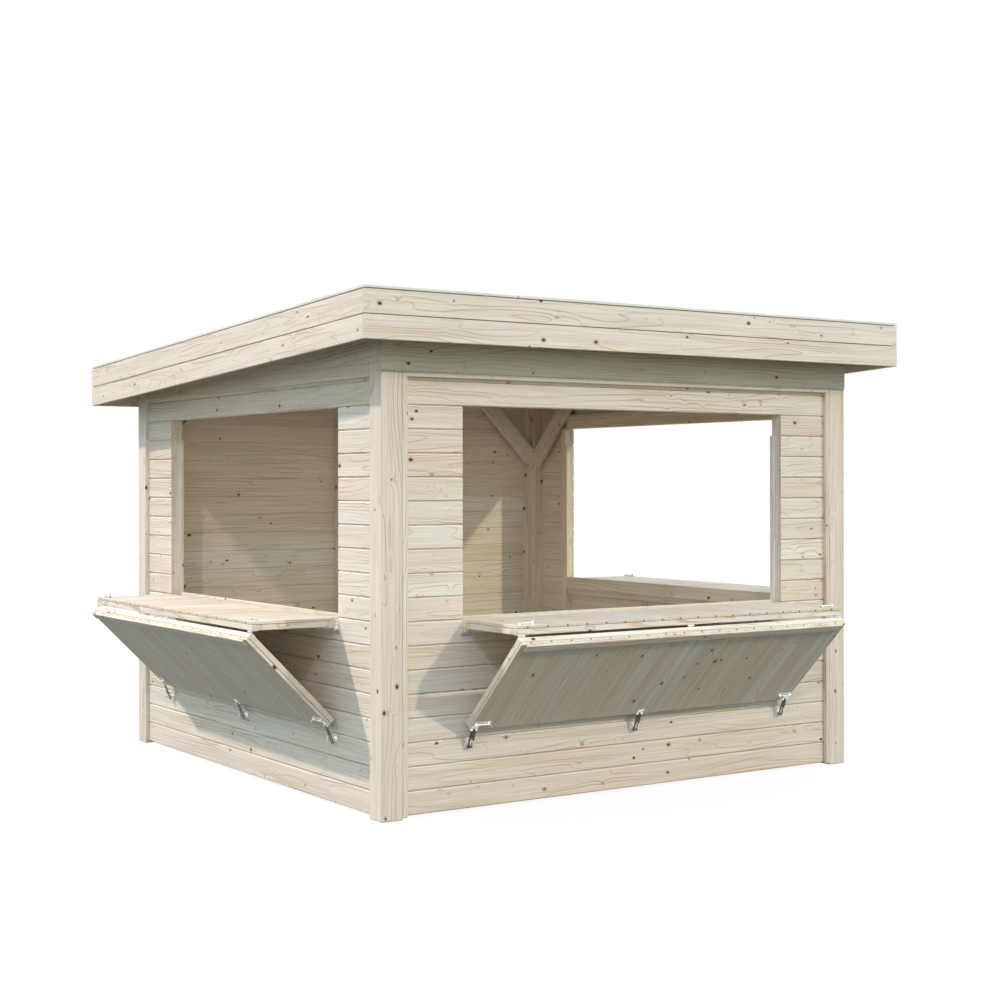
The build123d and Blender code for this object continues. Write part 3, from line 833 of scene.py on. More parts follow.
@dataclass(frozen=True)
class ZincPlatedSteel:
    """Pressed steel, bright zinc plated: a pale blue-grey metal with soft cloudy reflections."""

    name: str = "zinc_plated_steel"
    bright: str = "#f3f5f6"
    dull: str = "#d2d6d6"
    cloud: float = 14 * MM  # size of the plating's clouds
    scratch: float = 1.2 * MM
    cloud_share: Ramp = (0.35, 0.65, 0.0, 1.0)
    cloud_rough: Ramp = (0.3, 0.7, 0.34, 0.52)
    relief: float = 0.15
    relief_depth: float = 0.1 * MM

    def build(self) -> bpy.types.Material:
        """Make the material.

        Returns:
            The material, on object coordinates.
        """
        material, node = new_material(self.name)
        place = node("TexCoord")["Object"]
        cloud = node("TexNoise", {"Vector": place, "Scale": 1 / self.cloud, "Detail": 3.0})[0]
        scratch = node("TexNoise", {"Vector": place, "Scale": 1 / self.scratch, "Detail": 2.0})[0]
        share = node("MapRange", (cloud, *self.cloud_share))[0]
        colour = node("Mix", {0: share, 6: linear(self.bright), 7: linear(self.dull)}, data_type="RGBA")[2]
        rough = node("MapRange", (cloud, *self.cloud_rough))[0]
        bump = node("Bump", {"Height": scratch, "Strength": self.relief, "Distance": self.relief_depth})[0]
        steel = node("BsdfPrincipled", {"Base Color": colour, "Metallic": 1.0, "Roughness": rough,
                                        "Normal": bump})[0]
        node("OutputMaterial", {"Surface": steel})
        return material


@dataclass(frozen=True)
class OliveSteel(ZincPlatedSteel):
    """Pressed steel with a satin gloss, painted dark green-brown for the reflection of a dark olive ground
    that the white floor doesn't give.
    """

    name: str = "steel_painted_ground_reflection"
    # painted reflection of a dark ground, not the steel's own tone
    bright: str = "#565a48"
    dull: str = "#3c4034"


@dataclass(frozen=True)
class NailHole:
    """Nail head in wood: oxidised steel, painted near black for the shade of a dent that the shape doesn't
    have.
    """

    name: str = "nail_steel_painted_dent_shade"
    # near black: the steel's own dark tone plus painted shade of the dent
    dark: str = "#1d1916"
    light: str = "#332c26"
    grit: float = 1 * MM
    metallic: float = 0.2
    rough: float = 0.75

    def build(self) -> bpy.types.Material:
        """Make the material.

        Returns:
            The material, on object coordinates.
        """
        material, node = new_material(self.name)
        place = node("TexCoord")["Object"]
        grit = node("TexNoise", {"Vector": place, "Scale": 1 / self.grit, "Detail": 2.0})[0]
        colour = node("Mix", {0: grit, 6: linear(self.dark), 7: linear(self.light)}, data_type="RGBA")[2]
        steel = node("BsdfPrincipled", {"Base Color": colour, "Metallic": self.metallic,
                                        "Roughness": self.rough})[0]
        node("OutputMaterial", {"Surface": steel})
        return material


class Finish(Enum):
    """The finishes.  The first two are the record's slots, which the others belong to."""

    SPRUCE = "spruce"
    STEEL = "zinc_steel"
    OLIVE = "olive"
    NAIL = "nail"
    PRIMED = "primed"
    WEATHERED = "weathered"


MATERIALS: dict[Finish, bpy.types.Material] = {}
RECIPES = {
    Finish.SPRUCE: PlanedSpruce(),
    Finish.PRIMED: PrimedSpruce(),
    Finish.WEATHERED: WeatheredSpruce(),
    Finish.STEEL: ZincPlatedSteel(),
    Finish.NAIL: NailHole(),
    Finish.OLIVE: OliveSteel(),
}


def dress(piece: Piece, finish: Finish, body: str, *nodes: str) -> Piece:
    """Finish a piece, fix it to its body and let it stand for CAD nodes.

    Args:
        piece: The finished shape.
        finish: Its finish.
        body: The body that it moves with.
        nodes: The CAD nodes that it replaces.

    Returns:
        The same object.
    """
    piece.data.materials.clear()
    piece.data.materials.append(MATERIALS[finish])
    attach(piece, body)
    if nodes:
        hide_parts(*nodes)
    LOG.info("%s: %d faces on %s", piece.name, len(piece.data.polygons), body)
    return piece


# ---- walls ---------------------------------------------------------------------------------
class Side(Enum):
    """The four sides of the stall, with the turn from the front."""

    FRONT = ("front", 0)
    RIGHT = ("right", 90)
    BACK = ("back", 180)
    LEFT = ("left", 270)

    @property
    def label(self) -> str:
        """The side's name in the names of the nodes."""
        return self.value[0]

    @property
    def turn(self) -> Matrix:
        """The turn from the front."""
        return Matrix.Rotation(math.radians(self.value[1]), 4, "Z")

    @property
    def along(self) -> Vector:
        """Direction of the wall's own x."""
        return (self.turn @ Vector(ALONG)).normalized()

    @property
    def out(self) -> Vector:
        """Direction out of the wall's face."""
        return (self.turn @ Vector(OUT)).normalized()

    def place(self) -> Matrix:
        """Frame of this wall, from its boards.

        Returns:
            The wall's own frame, as a matrix.
        """
        low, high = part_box(f"{self.label}_wall_header")
        out = self.turn @ Vector(OUT)
        origin = (low + high) / 2 + out * abs((high - low).dot(out)) / 2
        origin.z = 0
        return Matrix.Translation(origin) @ self.turn

    def span(self, node: str) -> tuple[Vector, Vector]:
        """Lowest and highest corners of a node in this wall's frame.

        Args:
            node: The name of the CAD node.

        Returns:
            The two corners.
        """
        inward = self.place().inverted()
        corners = [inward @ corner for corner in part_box(node)]
        low = Vector([min(pair) for pair in zip(*corners)])
        high = Vector([max(pair) for pair in zip(*corners)])
        return low, high


@dataclass
class BoardWall:
    """A wall of horizontal tongued boards, with or without a serving opening."""

    side: Side
    cover: float = 114 * MM
    gap: float = 3 * MM
    top_bevel: float = 5.5 * MM  # the bevel that catches the light under each joint
    foot_bevel: float = 4.5 * MM
    inner_bevel: float = 1 * MM
    tongue_inset: float = 4 * MM  # from each face of the board, bevels left out
    tongue_play: float = 0.1 * MM
    clearance: float = 5 * MM  # around a counter or the door

    def board(self, x0: float, x1: float, z0: float, z1: float, depth: float) -> Piece:
        """Make one board: bevelled along its outer edges, with a tongue on top.

        Args:
            x0: Where it starts along the wall.
            x1: Where it ends.
            z0: Foot of its course.
            z1: Head of its course.
            depth: The board's thickness.

        Returns:
            The board, in the wall's frame.
        """
        top = z1 - self.gap
        piece = block((x0, 0, z0), (x1, depth, top))
        for bevel, place in ((self.top_bevel, top), (self.foot_bevel, z0)):
            ease(piece, bevel, lambda mid, way: abs(way.x) > 0.9 and abs(mid.z - place) < MM and mid.y < MM)
        ease(piece, self.inner_bevel, lambda mid, way: abs(way.x) > 0.9 and mid.y > depth - MM)
        step_top(piece, self.tongue_inset, self.gap - self.tongue_play)
        return piece

    def build(self) -> Piece:
        """Make all the wall's boards.

        Returns:
            The finished wall.
        """
        name = self.side.label
        low, high = self.side.span(f"{name}_wall_header")
        depth = high.y - low.y
        zones = self.zones()
        foot = min(zone[2] for zone in zones)
        boards = []
        for course in range(math.ceil((high.z - foot) / self.cover - 0.01)):
            z0 = foot + course * self.cover
            z1 = min(z0 + self.cover, high.z)
            row = []
            for x0, x1, zone_foot, zone_head in zones:
                if z0 + MM < zone_foot < z1 - MM:
                    row.append(self.board(x0, x1, zone_foot, z1, depth))
                elif zone_foot < z0 + MM < zone_head:
                    row.append(self.board(x0, x1, z0, min(z1, zone_head + self.gap), depth))
            if len(row) == 3:  # the parts of a course that touch are one board
                row = [joined(row, "course")]
            for part, piece in enumerate(row):
                add_grain(piece, f"{name}_course_{course}_{part}", Cut.BOARD)
                boards.append(piece)
        wall = move_to(joined(boards, f"{name}_wall_boards"), self.side.place())
        parts = ("sides", "header") if self.side is Side.BACK else ("lower", "piers", "header")
        return dress(wall, Finish.SPRUCE, "root", *(f"{name}_wall_{part}" for part in parts))

    def zones(self) -> list[tuple[float, float, float, float]]:
        """The wall's rectangles of boards, as left, right, foot and head.

        Returns:
            One rectangle for each run of boards that ends at an opening.
        """
        name = self.side.label
        head_low, head_high = self.side.span(f"{name}_wall_header")
        header = (head_low.x, head_high.x, head_low.z, head_high.z)
        if self.side is Side.BACK:
            low, high = self.side.span("back_wall_sides")
            door_low, door_high = self.side.span("back_door")
            return [
                (low.x, door_low.x - self.clearance, low.z, high.z),
                (door_high.x + self.clearance, high.x, low.z, high.z),
                header,
            ]
        low, high = self.side.span(f"{name}_wall_lower")
        counter_low, counter_high = self.side.span(f"{name}_counter_boards")
        opening = (counter_high.x - counter_low.x) / 2 + self.clearance
        return [
            (low.x, -opening, low.z, head_low.z),
            (-opening, opening, low.z, high.z),
            (opening, high.x, low.z, head_low.z),
            header,
        ]


@dataclass
class Framing:
    """Straight timbers that keep the shapes of their CAD nodes, with eased edges."""

    node: str
    bevel: float = 2 * MM
    body: str = "root"
    cut: Cut = Cut.SQUARE
    finish: Finish = Finish.SPRUCE
    slit: float = 0.0  # open joint over each timber

    def build(self) -> Piece:
        """Make the node's timbers.

        Returns:
            The finished timbers, as one object.
        """
        timbers = split(cleaned_copy(self.node))
        for index, timber in enumerate(timbers):
            if self.slit:
                pull_in(timber, Vector(UP), self.slit)
            apply_bevel(timber, self.bevel, 1)
            add_grain(timber, f"{self.node}_{index}", self.cut)
        return dress(joined(timbers, f"{self.node}_timbers"), self.finish, self.body, self.node)


@dataclass
class RoofDeck:
    """The roof's boards, laid across the rafters."""

    node: str = "roof_deck"
    cover: float = 114 * MM
    gap: float = 1.5 * MM
    bevel: float = 1.5 * MM

    def build(self) -> Piece:
        """Cut the deck into its boards.

        Returns:
            The finished deck.
        """
        low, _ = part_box(self.node)
        boards = cut_into_boards(cleaned_copy(self.node), low, Vector((0, 1, 0)), self.cover, self.gap)
        for index, board in enumerate(boards):
            apply_bevel(board, self.bevel, 1)
            add_grain(board, f"deck_{index}", Cut.BOARD)
        # the deck's darker finish is painted shade, against the strong light on the roof's top
        return dress(joined(boards, "roof_deck_boards"), Finish.WEATHERED, "root", self.node)


# ---- hatches -------------------------------------------------------------------------------
@dataclass
class HatchPanel:
    """One leaf of a hatch: boards across it and a frame of laths behind them."""

    side: Side
    leaf: str  # counter or prop
    cover: float = 114 * MM
    gap: float = 0.4 * MM
    bevel: float = 0.9 * MM
    lath_bevel: float = 2.5 * MM
    shadow_line: float = 2 * MM  # between the boards and the frame

    def build(self) -> None:
        """Make the leaf's boards and laths."""
        name = f"{self.side.label}_{self.leaf}"
        slab = cleaned_copy(f"{name}_boards")
        along = self.side.along
        start = min(corner.co.dot(along) for corner in slab.data.vertices)
        broad = max(slab.data.polygons, key=lambda face: round(face.area, 4))
        behind = middle_of(frame["nodes"][f"{name}_frame"]) - broad.center
        back = broad.normal.copy() * (1 if behind.dot(broad.normal) > 0 else -1)
        pull_in(slab, back, self.shadow_line)
        boards = cut_into_boards(slab, along * start, along, self.cover, self.gap)
        for index, board in enumerate(boards):
            apply_bevel(board, self.bevel, 1)
            add_grain(board, f"{name}_board_{index}", Cut.PANEL)
        dress(joined(boards, f"{name}_planks"), Finish.SPRUCE, name, f"{name}_boards")
        Framing(f"{name}_frame", self.lath_bevel, name).build()


# ---- steel fittings ------------------------------------------------------------------------
def joint_place(name: str) -> Vector:
    """Place of a joint.

    Args:
        name: The joint's name.

    Returns:
        The point that its axis runs through.
    """
    places = {joint["name"]: joint["pos_m"] for joint in frame["record"]["behaviour"]["joints"]}
    return Vector(places[name])


def leaf_frame(side: Side, joint: str, node: str) -> Matrix:
    """Frame on a slanting leaf: x along the wall, z out of the leaf's face.

    Args:
        side: The side that the leaf belongs to.
        joint: The joint on whose axis the frame lies.
        node: The flat CAD node that shows which way the leaf faces.

    Returns:
        The leaf's own frame, as a matrix.
    """
    areas: dict[tuple, float] = {}
    for face in frame["nodes"][node].data.polygons:
        if abs(face.normal.dot(side.along)) < 0.01 and face.normal.dot(side.out) > 0.3:
            key = tuple(round(value, 3) for value in face.normal)
            areas[key] = areas.get(key, 0.0) + face.area
    way = Vector(max(areas, key=areas.get)).normalized()
    turn = Matrix((side.along, way.cross(side.along), way)).transposed().to_4x4()
    return Matrix.Translation(joint_place(joint)) @ turn


@dataclass
class Bench:
    """Steel pieces of one body, made in millimetres in one frame and then put in place."""

    name: str
    body: str
    place: Matrix
    barrel: float = 40.0  # length of a hinge's barrel
    play: float = 0.5  # between its knuckles
    knuckle_bevel: float = 0.15  # this and the next three are shares of its radius
    cap_length: float = 0.25
    cap_radius: float = 0.55
    pin_radius: float = 0.38
    leaf_corner: float = 3.0
    screw_spread: float = 12.0  # between the screws of a leaf
    screw_radius: float = 3.8
    screw_rise: float = 0.7
    screw_bevel: float = 0.45
    socket_radius: float = 1.7
    socket_depth: float = 0.5
    pieces: list[Piece] = field(default_factory=list)

    def keep(self, *pieces: Piece) -> None:
        """Add pieces to the bench."""
        self.pieces.extend(pieces)

    def screw(self, at: Vec, out: Vec) -> None:
        """Add a countersunk screw's head with its socket.

        Args:
            at: The middle of the head, on the plate.
            out: The direction that the head faces.
        """
        if "screw" not in MASTERS:
            head = rod((0, 0, -0.2), (0, 0, self.screw_rise), self.screw_radius, 12)
            ease(head, self.screw_bevel, lambda middle, way: abs(way.z) < 0.5 and middle.z > 0)
            step_top(head, self.screw_radius - self.screw_bevel - self.socket_radius, -self.socket_depth)
            bpy.context.scene.collection.objects.unlink(head)
            MASTERS["screw"] = head
        self.keep(move_to(copy_of(MASTERS["screw"]), facing(at, out)))

    def hinge(self, middle: float, axis: tuple[float, float], radius: float, path: Path, gauge: float,
              outer: bool) -> None:
        """Add a hinge's knuckles and the bent strips that join them to their leaf.

        Args:
            middle: The middle of the hinge along its axis.
            axis: The y and z of its axis.
            radius: Radius of the barrel.
            path: The y and z of the middle of the sheet.
            gauge: The sheet's thickness.
            outer: Whether these are the outer knuckles, with the pin, or the middle one.
        """
        half, third, bevel = self.barrel / 2, self.barrel / 6, self.knuckle_bevel * radius
        inner = third + self.play
        if not outer:
            self.keep(rod((middle - third, *axis), (middle + third, *axis), radius, 16, bevel),
                      bent_sheet(path, middle - third, middle + third, gauge))
            return
        for end in (-1, 1):
            far = middle + end * half
            cap = far + end * self.cap_length * radius
            self.keep(rod((middle + end * inner, *axis), (far, *axis), radius, 16, bevel),
                      rod((far, *axis), (cap, *axis), self.cap_radius * radius, 12, bevel))
        self.keep(rod((middle - inner, *axis), (middle + inner, *axis), self.pin_radius * radius, 8),
                  bent_sheet(path, middle - half, middle - inner, gauge),
                  bent_sheet(path, middle + inner, middle + half, gauge))

    def leaf(self, middle: float, span: tuple[float, float], levels: tuple[float, float], row: float,
             lag: float, out: Vec) -> None:
        """Add a hinge's leaf: its plate and three screws.

        Args:
            middle: The middle of the hinge along its axis.
            span: Where the plate starts and ends, across the axis.
            levels: Its lower and its upper face.
            row: The middle of the screws, across the axis.
            lag: How far the outer screws are beyond it, and the middle one before it.
            out: The direction that the screws face.
        """
        half = self.barrel / 2
        (start, end), (low, high) = span, levels
        self.keep(plate((middle - half, start, low), (middle + half, end, high), self.leaf_corner))
        for across in (-self.screw_spread, 0, self.screw_spread):
            at = (middle + across, row + (lag if across else -lag), high if out == UP else low)
            self.screw(at, out)

    def put(self, finish: Finish, *nodes: str) -> None:
        """Join the pieces, carry them to their place and finish them.

        Args:
            finish: Their finish.
            nodes: The CAD nodes that they stand for.
        """
        dress(move_to(joined(self.pieces, self.name), self.place @ TO_METRES), finish, self.body, *nodes)


MASTERS: dict[str, Piece] = {}  # pieces that are made once and copied


@dataclass
class SlidingBolt:
    """A barrel bolt: a plate with two keepers, and a round bolt whose inner end turns up."""

    length: float = 96.0
    width: float = 24.0
    corner: float = 4.0
    gauge: float = 3.0
    bevel: float = 0.6
    rod_radius: float = 4.0
    rod_level: float = 8.0
    keeper_width: float = 17.0
    keeper_gauge: float = 1.3
    keeper_inset: float = 4.0  # from the ends of the plate
    keeper_edge: float = 1.5  # from its sides
    keeper_play: float = 0.2
    hook: float = 24.0
    hook_bend: float = 5.0
    hook_inset: float = 4.5
    screw_inset: float = 28.0
    screw_half: float = 8.0

    def fit(self, bench: Bench, tip: float, end: int, y: float, face: float) -> None:
        """Add the bolt to a leaf.

        Args:
            bench: The bench that it is made on.
            tip: Where the bolt's tip is, along the wall.
            end: The end of the wall that it points to, -1 or 1.
            y: The middle of the bolt across the leaf.
            face: Level of the leaf's face.
        """
        back = tip - end * self.length
        low, high = min(tip, back), max(tip, back)
        half, bend = self.width / 2, self.hook_bend
        plate_top, level = face + self.gauge, face + self.rod_level
        bench.keep(plate((low, y - half, face), (high, y + half, plate_top), self.corner, self.bevel))
        top = plate_top + self.keeper_gauge / 2
        reach = self.rod_radius + self.keeper_gauge / 2 + self.keeper_play
        rise = [(half - self.keeper_edge, top), (reach + 0.6, top), (reach, top + 0.8), (reach, level)]
        arch = [(y - across, z) for across, z in rise]
        for step in range(150, 0, -30):
            turn = math.radians(step)
            arch.append((y + reach * math.cos(turn), level + reach * math.sin(turn)))
        arch += [(y + across, z) for across, z in reversed(rise)]
        for start in (low + self.keeper_inset, high - self.keeper_inset - self.keeper_width):
            bench.keep(bent_sheet(arch, start, start + self.keeper_width, self.keeper_gauge))
        inner = back + end * self.hook_inset
        run = [(tip - end * 0.5, y, level), (inner + end * bend, y, level)]
        for step in range(18, 90, 18):
            turn = math.radians(step)
            run.append((inner + end * bend * (1 - math.sin(turn)), y, level + bend * (1 - math.cos(turn))))
        run += [(inner, y, level + bend), (inner, y, face + self.hook)]
        bench.keep(bent_rod(run, self.rod_radius, 4))
        for place in (low + self.screw_inset, high - self.screw_inset):
            for across in (-self.screw_half, self.screw_half):
                bench.screw((place, y + across, plate_top), UP)


@dataclass
class HatchFittings:
    """The hinges, bolts, hasps and staples of one serving hatch."""

    side: Side
    gauge: float = 2.0
    end_inset: float = 21.5  # end of a panel to the middle of its outer hinges
    lap: float = 2.0  # of a web under its plate
    sill_radius: float = 5.5
    sill_leaf: float = 34.0
    sill_setback: float = 6.0
    sill_screws: float = 14.0  # from the leaf's edge
    sill_bend: tuple[float, float] = (4.0, 1.2)  # start of the web's bend, and its cut across the corner
    wall_bend: tuple[float, float] = (3.5, 1.0)
    wall_plate_width: float = 63.0
    wall_plate_height: float = 17.0
    wall_plate_drop: float = 12.0  # its head below the barrel's
    wall_screws: float = 0.7  # share of half its width
    fold_radius: float = 3.5
    fold_leaf: float = 30.0
    fold_edge: float = 3.0
    fold_screws: float = 12.0
    play: float = 0.5
    counter_bolt_inset: float = 20.0
    counter_bolt_edge: float = 35.0
    prop_bolt_inset: float = 3.0
    prop_bolt_edge: float = 47.0
    hasp_radius: float = 4.0
    hasp_leaf: float = 26.0
    hasp_screws: float = 14.0
    screw_lag: float = 4.0
    strap_width: float = 30.0
    strap_length: float = 98.0
    strap_gauge: float = 2.5
    strap_corner: float = 3.0
    strap_round: float = 9.0
    strap_bevel: float = 0.5
    slot_width: float = 12.0
    slot_length: float = 44.0
    slot_margin: float = 8.0
    staple_plate: float = 34.0
    staple_corner: float = 4.0
    staple_screws: float = 0.62  # share of half the plate
    staple_wire: float = 2.5
    staple_root: float = 1.0  # how far it starts before the wall
    staple_reach: float = 46.0
    staple_half: float = 12.0
    staple_bend: float = 5.0
    wall: Matrix = field(init=False)
    prop: Matrix = field(init=False)
    low: Vector = field(init=False)  # the counter's boards, in the wall's frame
    high: Vector = field(init=False)
    underside: float = field(init=False)
    sill: Vector = field(init=False)  # the counter's axis and the prop's, in the wall's frame
    fold: Vector = field(init=False)
    pivot: Vector = field(init=False)  # the hasps' axis, in the prop's frame
    foot: float = field(init=False)  # of the prop's boards, in its frame
    face: float = field(init=False)
    back: float = field(init=False)  # the face of the prop's laths
    half: float = field(init=False)  # half the counter's length
    hinges: tuple[float, ...] = field(init=False)

    def __post_init__(self) -> None:
        """Take the places of the hatch from its nodes and joints, in millimetres."""
        name = self.side.label
        self.wall = self.side.place()
        self.prop = leaf_frame(self.side, f"{name}_prop_hinge", f"{name}_prop_boards")
        to_wall, to_prop = self.wall.inverted(), self.prop.inverted()
        self.low, self.high = (corner / MM for corner in self.side.span(f"{name}_counter_boards"))
        self.underside = self.side.span(f"{name}_counter_frame")[0].z / MM
        self.sill = to_wall @ joint_place(f"{name}_counter_hinge") / MM
        self.fold = to_wall @ joint_place(f"{name}_prop_hinge") / MM
        self.pivot = to_prop @ joint_place(f"{name}_hasp_hinge") / MM
        boards = corners_in(self.prop, f"{name}_prop_boards")
        self.foot, self.face = min(corner.y for corner in boards), max(corner.z for corner in boards)
        self.back = min(corner.z for corner in corners_in(self.prop, f"{name}_prop_frame"))
        self.half = (self.high.x - self.low.x) / 2
        self.hinges = (self.end_inset - self.half, 0.0, self.half - self.end_inset)

    def build(self) -> None:
        """Make the fittings of every body of the hatch."""
        self.on_the_counter()
        self.on_the_prop()
        self.hasps()
        self.sill_leaves()
        self.staples()

    def on_the_counter(self) -> None:
        """Make the leaves under the counter and the bolts on it."""
        name = self.side.label
        bench = Bench(f"{name}_counter_steel", f"{name}_counter", self.wall)
        level = self.underside - self.gauge / 2
        levels = (self.underside - self.gauge, self.underside)
        edge = self.high.y - self.sill_setback
        start, end = self.fold.y + self.fold_edge + self.play, self.low.y + self.fold_leaf
        bend, cut = self.sill_bend
        sill_path = [(self.sill.y, self.sill.z + self.lap), (self.sill.y, level - bend),
                     (self.sill.y - cut, level - cut), (self.sill.y - bend, level), (edge - 1, level)]
        fold_path = [(self.fold.y, level), (start + self.lap, level)]
        for middle in self.hinges:
            bench.hinge(middle, self.sill.yz, self.sill_radius, sill_path, self.gauge, False)
            bench.leaf(middle, (self.high.y - self.sill_leaf, edge), levels, edge - self.sill_screws,
                       self.screw_lag, DOWN)
            bench.hinge(middle, self.fold.yz, self.fold_radius, fold_path, self.gauge, True)
            bench.leaf(middle, (start, end), levels, end - self.fold_screws, -self.screw_lag, DOWN)
        for way in (-1, 1):
            tip = way * (self.half - self.counter_bolt_inset)
            SlidingBolt().fit(bench, tip, way, self.low.y + self.counter_bolt_edge, self.high.z)
        bench.put(Finish.STEEL, f"{name}_counter_fittings")

    def on_the_prop(self) -> None:
        """Make the leaves and the bolts on the prop."""
        name = self.side.label
        bench = Bench(f"{name}_prop_steel", f"{name}_prop", self.prop)
        head, foot = -self.fold_edge - self.play, -self.fold_edge - self.fold_leaf
        start = self.pivot.y + self.hasp_radius
        inner, outer = self.back - self.gauge / 2, self.face + self.gauge / 2
        fold_path = [(0, inner), (head - self.lap, inner)]
        hasp_path = [(self.pivot.y, outer), (start + self.lap, outer)]
        for middle in self.hinges:
            bench.hinge(middle, (0, 0), self.fold_radius, fold_path, self.gauge, False)
            bench.leaf(middle, (foot, head), (self.back - self.gauge, self.back), foot + self.fold_screws,
                       self.screw_lag, DOWN)
            bench.hinge(middle, self.pivot.yz, self.hasp_radius, hasp_path, self.gauge, True)
            bench.leaf(middle, (start, start + self.hasp_leaf), (self.face, self.face + self.gauge),
                       start + self.hasp_screws, -self.screw_lag, UP)
        for way in (-1, 1):
            tip = way * (self.half - self.prop_bolt_inset)
            SlidingBolt().fit(bench, tip, way, self.foot + self.prop_bolt_edge, self.face)
        bench.put(Finish.STEEL, f"{name}_prop_fittings")

    def hasps(self) -> None:
        """Make the slotted straps that close over the staples."""
        name = self.side.label
        place = leaf_frame(self.side, f"{name}_hasp_hinge", f"{name}_hasps")
        bench = Bench(f"{name}_hasp_straps", f"{name}_hasps", place)
        half, gauge, slot_half = self.strap_width / 2, self.strap_gauge / 2, self.slot_width / 2
        head = -self.hasp_radius - self.play
        slot_foot = self.slot_margin - self.strap_length
        path = [(0, 0), (head - self.lap, 0)]
        for middle in self.hinges:
            bench.hinge(middle, (0, 0), self.hasp_radius, path, self.strap_gauge, False)
            strap = block((middle - half, -self.strap_length, -gauge), (middle + half, head, gauge))
            ease(strap, self.strap_round, lambda mid, way: abs(way.z) > 0.9 and mid.y < head - 1, 6)
            ease(strap, self.strap_corner, lambda mid, way: abs(way.z) > 0.9 and mid.y > head - 1, 3)
            carve(strap, plate((middle - slot_half, slot_foot, -3 * gauge),
                               (middle + slot_half, slot_foot + self.slot_length, 3 * gauge),
                               slot_half * 0.98, 0.0))
            apply_bevel(strap, self.strap_bevel, 2, 60)
            bench.keep(strap)
        # the straps' dark green-brown is a painted reflection of a dark ground
        bench.put(Finish.OLIVE, f"{name}_hasps")

    def sill_leaves(self) -> None:
        """Make the hinges' leaves on the wall, under the sill."""
        bench = Bench(f"{self.side.label}_sill_leaves", "root", self.wall)
        head = self.sill.z + self.sill_radius - self.wall_plate_drop
        low, half, mid = head - self.wall_plate_height, self.wall_plate_width / 2, -self.gauge / 2
        bend, cut = self.wall_bend
        path = [(mid, head - self.lap), (mid, self.sill.z - bend), (mid - cut, self.sill.z - cut),
                (mid - bend, self.sill.z), (self.sill.y + 3, self.sill.z)]
        for middle in self.hinges:
            outward = (middle > 0) - (middle < 0)
            bench.hinge(middle, self.sill.yz, self.sill_radius, path, self.gauge, True)
            centre = middle + outward * (half - bench.barrel / 2)
            bench.keep(plate((centre - half, -self.gauge, low), (centre + half, 0, head),
                                      bench.leaf_corner))
            for across in (-self.wall_screws, 0, self.wall_screws):
                bench.screw((centre + across * half, -self.gauge, (low + head) / 2), OUT)
        bench.put(Finish.STEEL, "sill_hinges")

    def staples(self) -> None:
        """Make the staples on the wall, each a bent wire on a plate."""
        bench = Bench(f"{self.side.label}_staple_loops", "root", self.wall)
        tips = [tip for tip in corners_in(self.wall, "staples")
                if abs(tip.x) < 100 and -60 < tip.y < -self.staple_reach / 2]
        level = (min(tip.z for tip in tips) + max(tip.z for tip in tips)) / 2
        tab, bend, foot = self.staple_plate / 2, self.staple_bend, level - self.staple_half
        for middle in self.hinges:
            bench.keep(plate((middle - tab, -self.gauge, level - tab), (middle + tab, 0, level + tab),
                                      self.staple_corner))
            for across in (-self.staple_screws, self.staple_screws):
                for rise in (-self.staple_screws, self.staple_screws):
                    bench.screw((middle + across * tab, -self.gauge, level + rise * tab), OUT)
            wire = [(middle, -self.staple_root, foot)]
            for turn in range(0, 91, 15):
                swing = math.radians(turn)
                wire.append((middle, -self.staple_reach + bend * (1 - math.sin(swing)),
                             foot + bend * (1 - math.cos(swing))))
            wire += [(x, y, 2 * level - z) for x, y, z in reversed(wire)]
            bench.keep(bent_rod(wire, self.staple_wire, 4))
        bench.put(Finish.STEEL, "staples")


@dataclass
class EdgeNails:
    """Sunk nails along a hatch's outer edges, one in each board."""

    side: Side
    cover: float = 114.0
    radius: float = 4.4
    stand: float = 0.2
    bevel: float = 0.15
    counter_drop: float = 9.0

    def build(self) -> None:
        """Put a row of nails in the counter's outer face and in the prop's upper end."""
        name = self.side.label
        wall = self.side.place()
        low, high = (corner / MM for corner in self.side.span(f"{name}_counter_boards"))
        prop = leaf_frame(self.side, f"{name}_prop_hinge", f"{name}_prop_boards")
        ends = corners_in(prop, f"{name}_prop_boards")
        head, levels = max(end.y for end in ends), [end.z for end in ends]
        half = (high.x - low.x) / 2
        for leaf, place, y, z, out in (
            ("counter", wall, low.y, high.z - self.counter_drop, Vector(OUT)),
            ("prop", prop, head, (max(levels) + min(levels)) / 2, -Vector(OUT)),
        ):
            bench = Bench(f"{name}_{leaf}_nails", f"{name}_{leaf}", place)
            for index in range(math.floor(2 * half / self.cover)):
                at = Vector((-half + (index + 0.5) * self.cover, y, z))
                bench.keep(rod(at - out, at + out * self.stand, self.radius, 10, self.bevel))
            # the nail heads' near black is partly painted shade of their dents
            bench.put(Finish.NAIL)


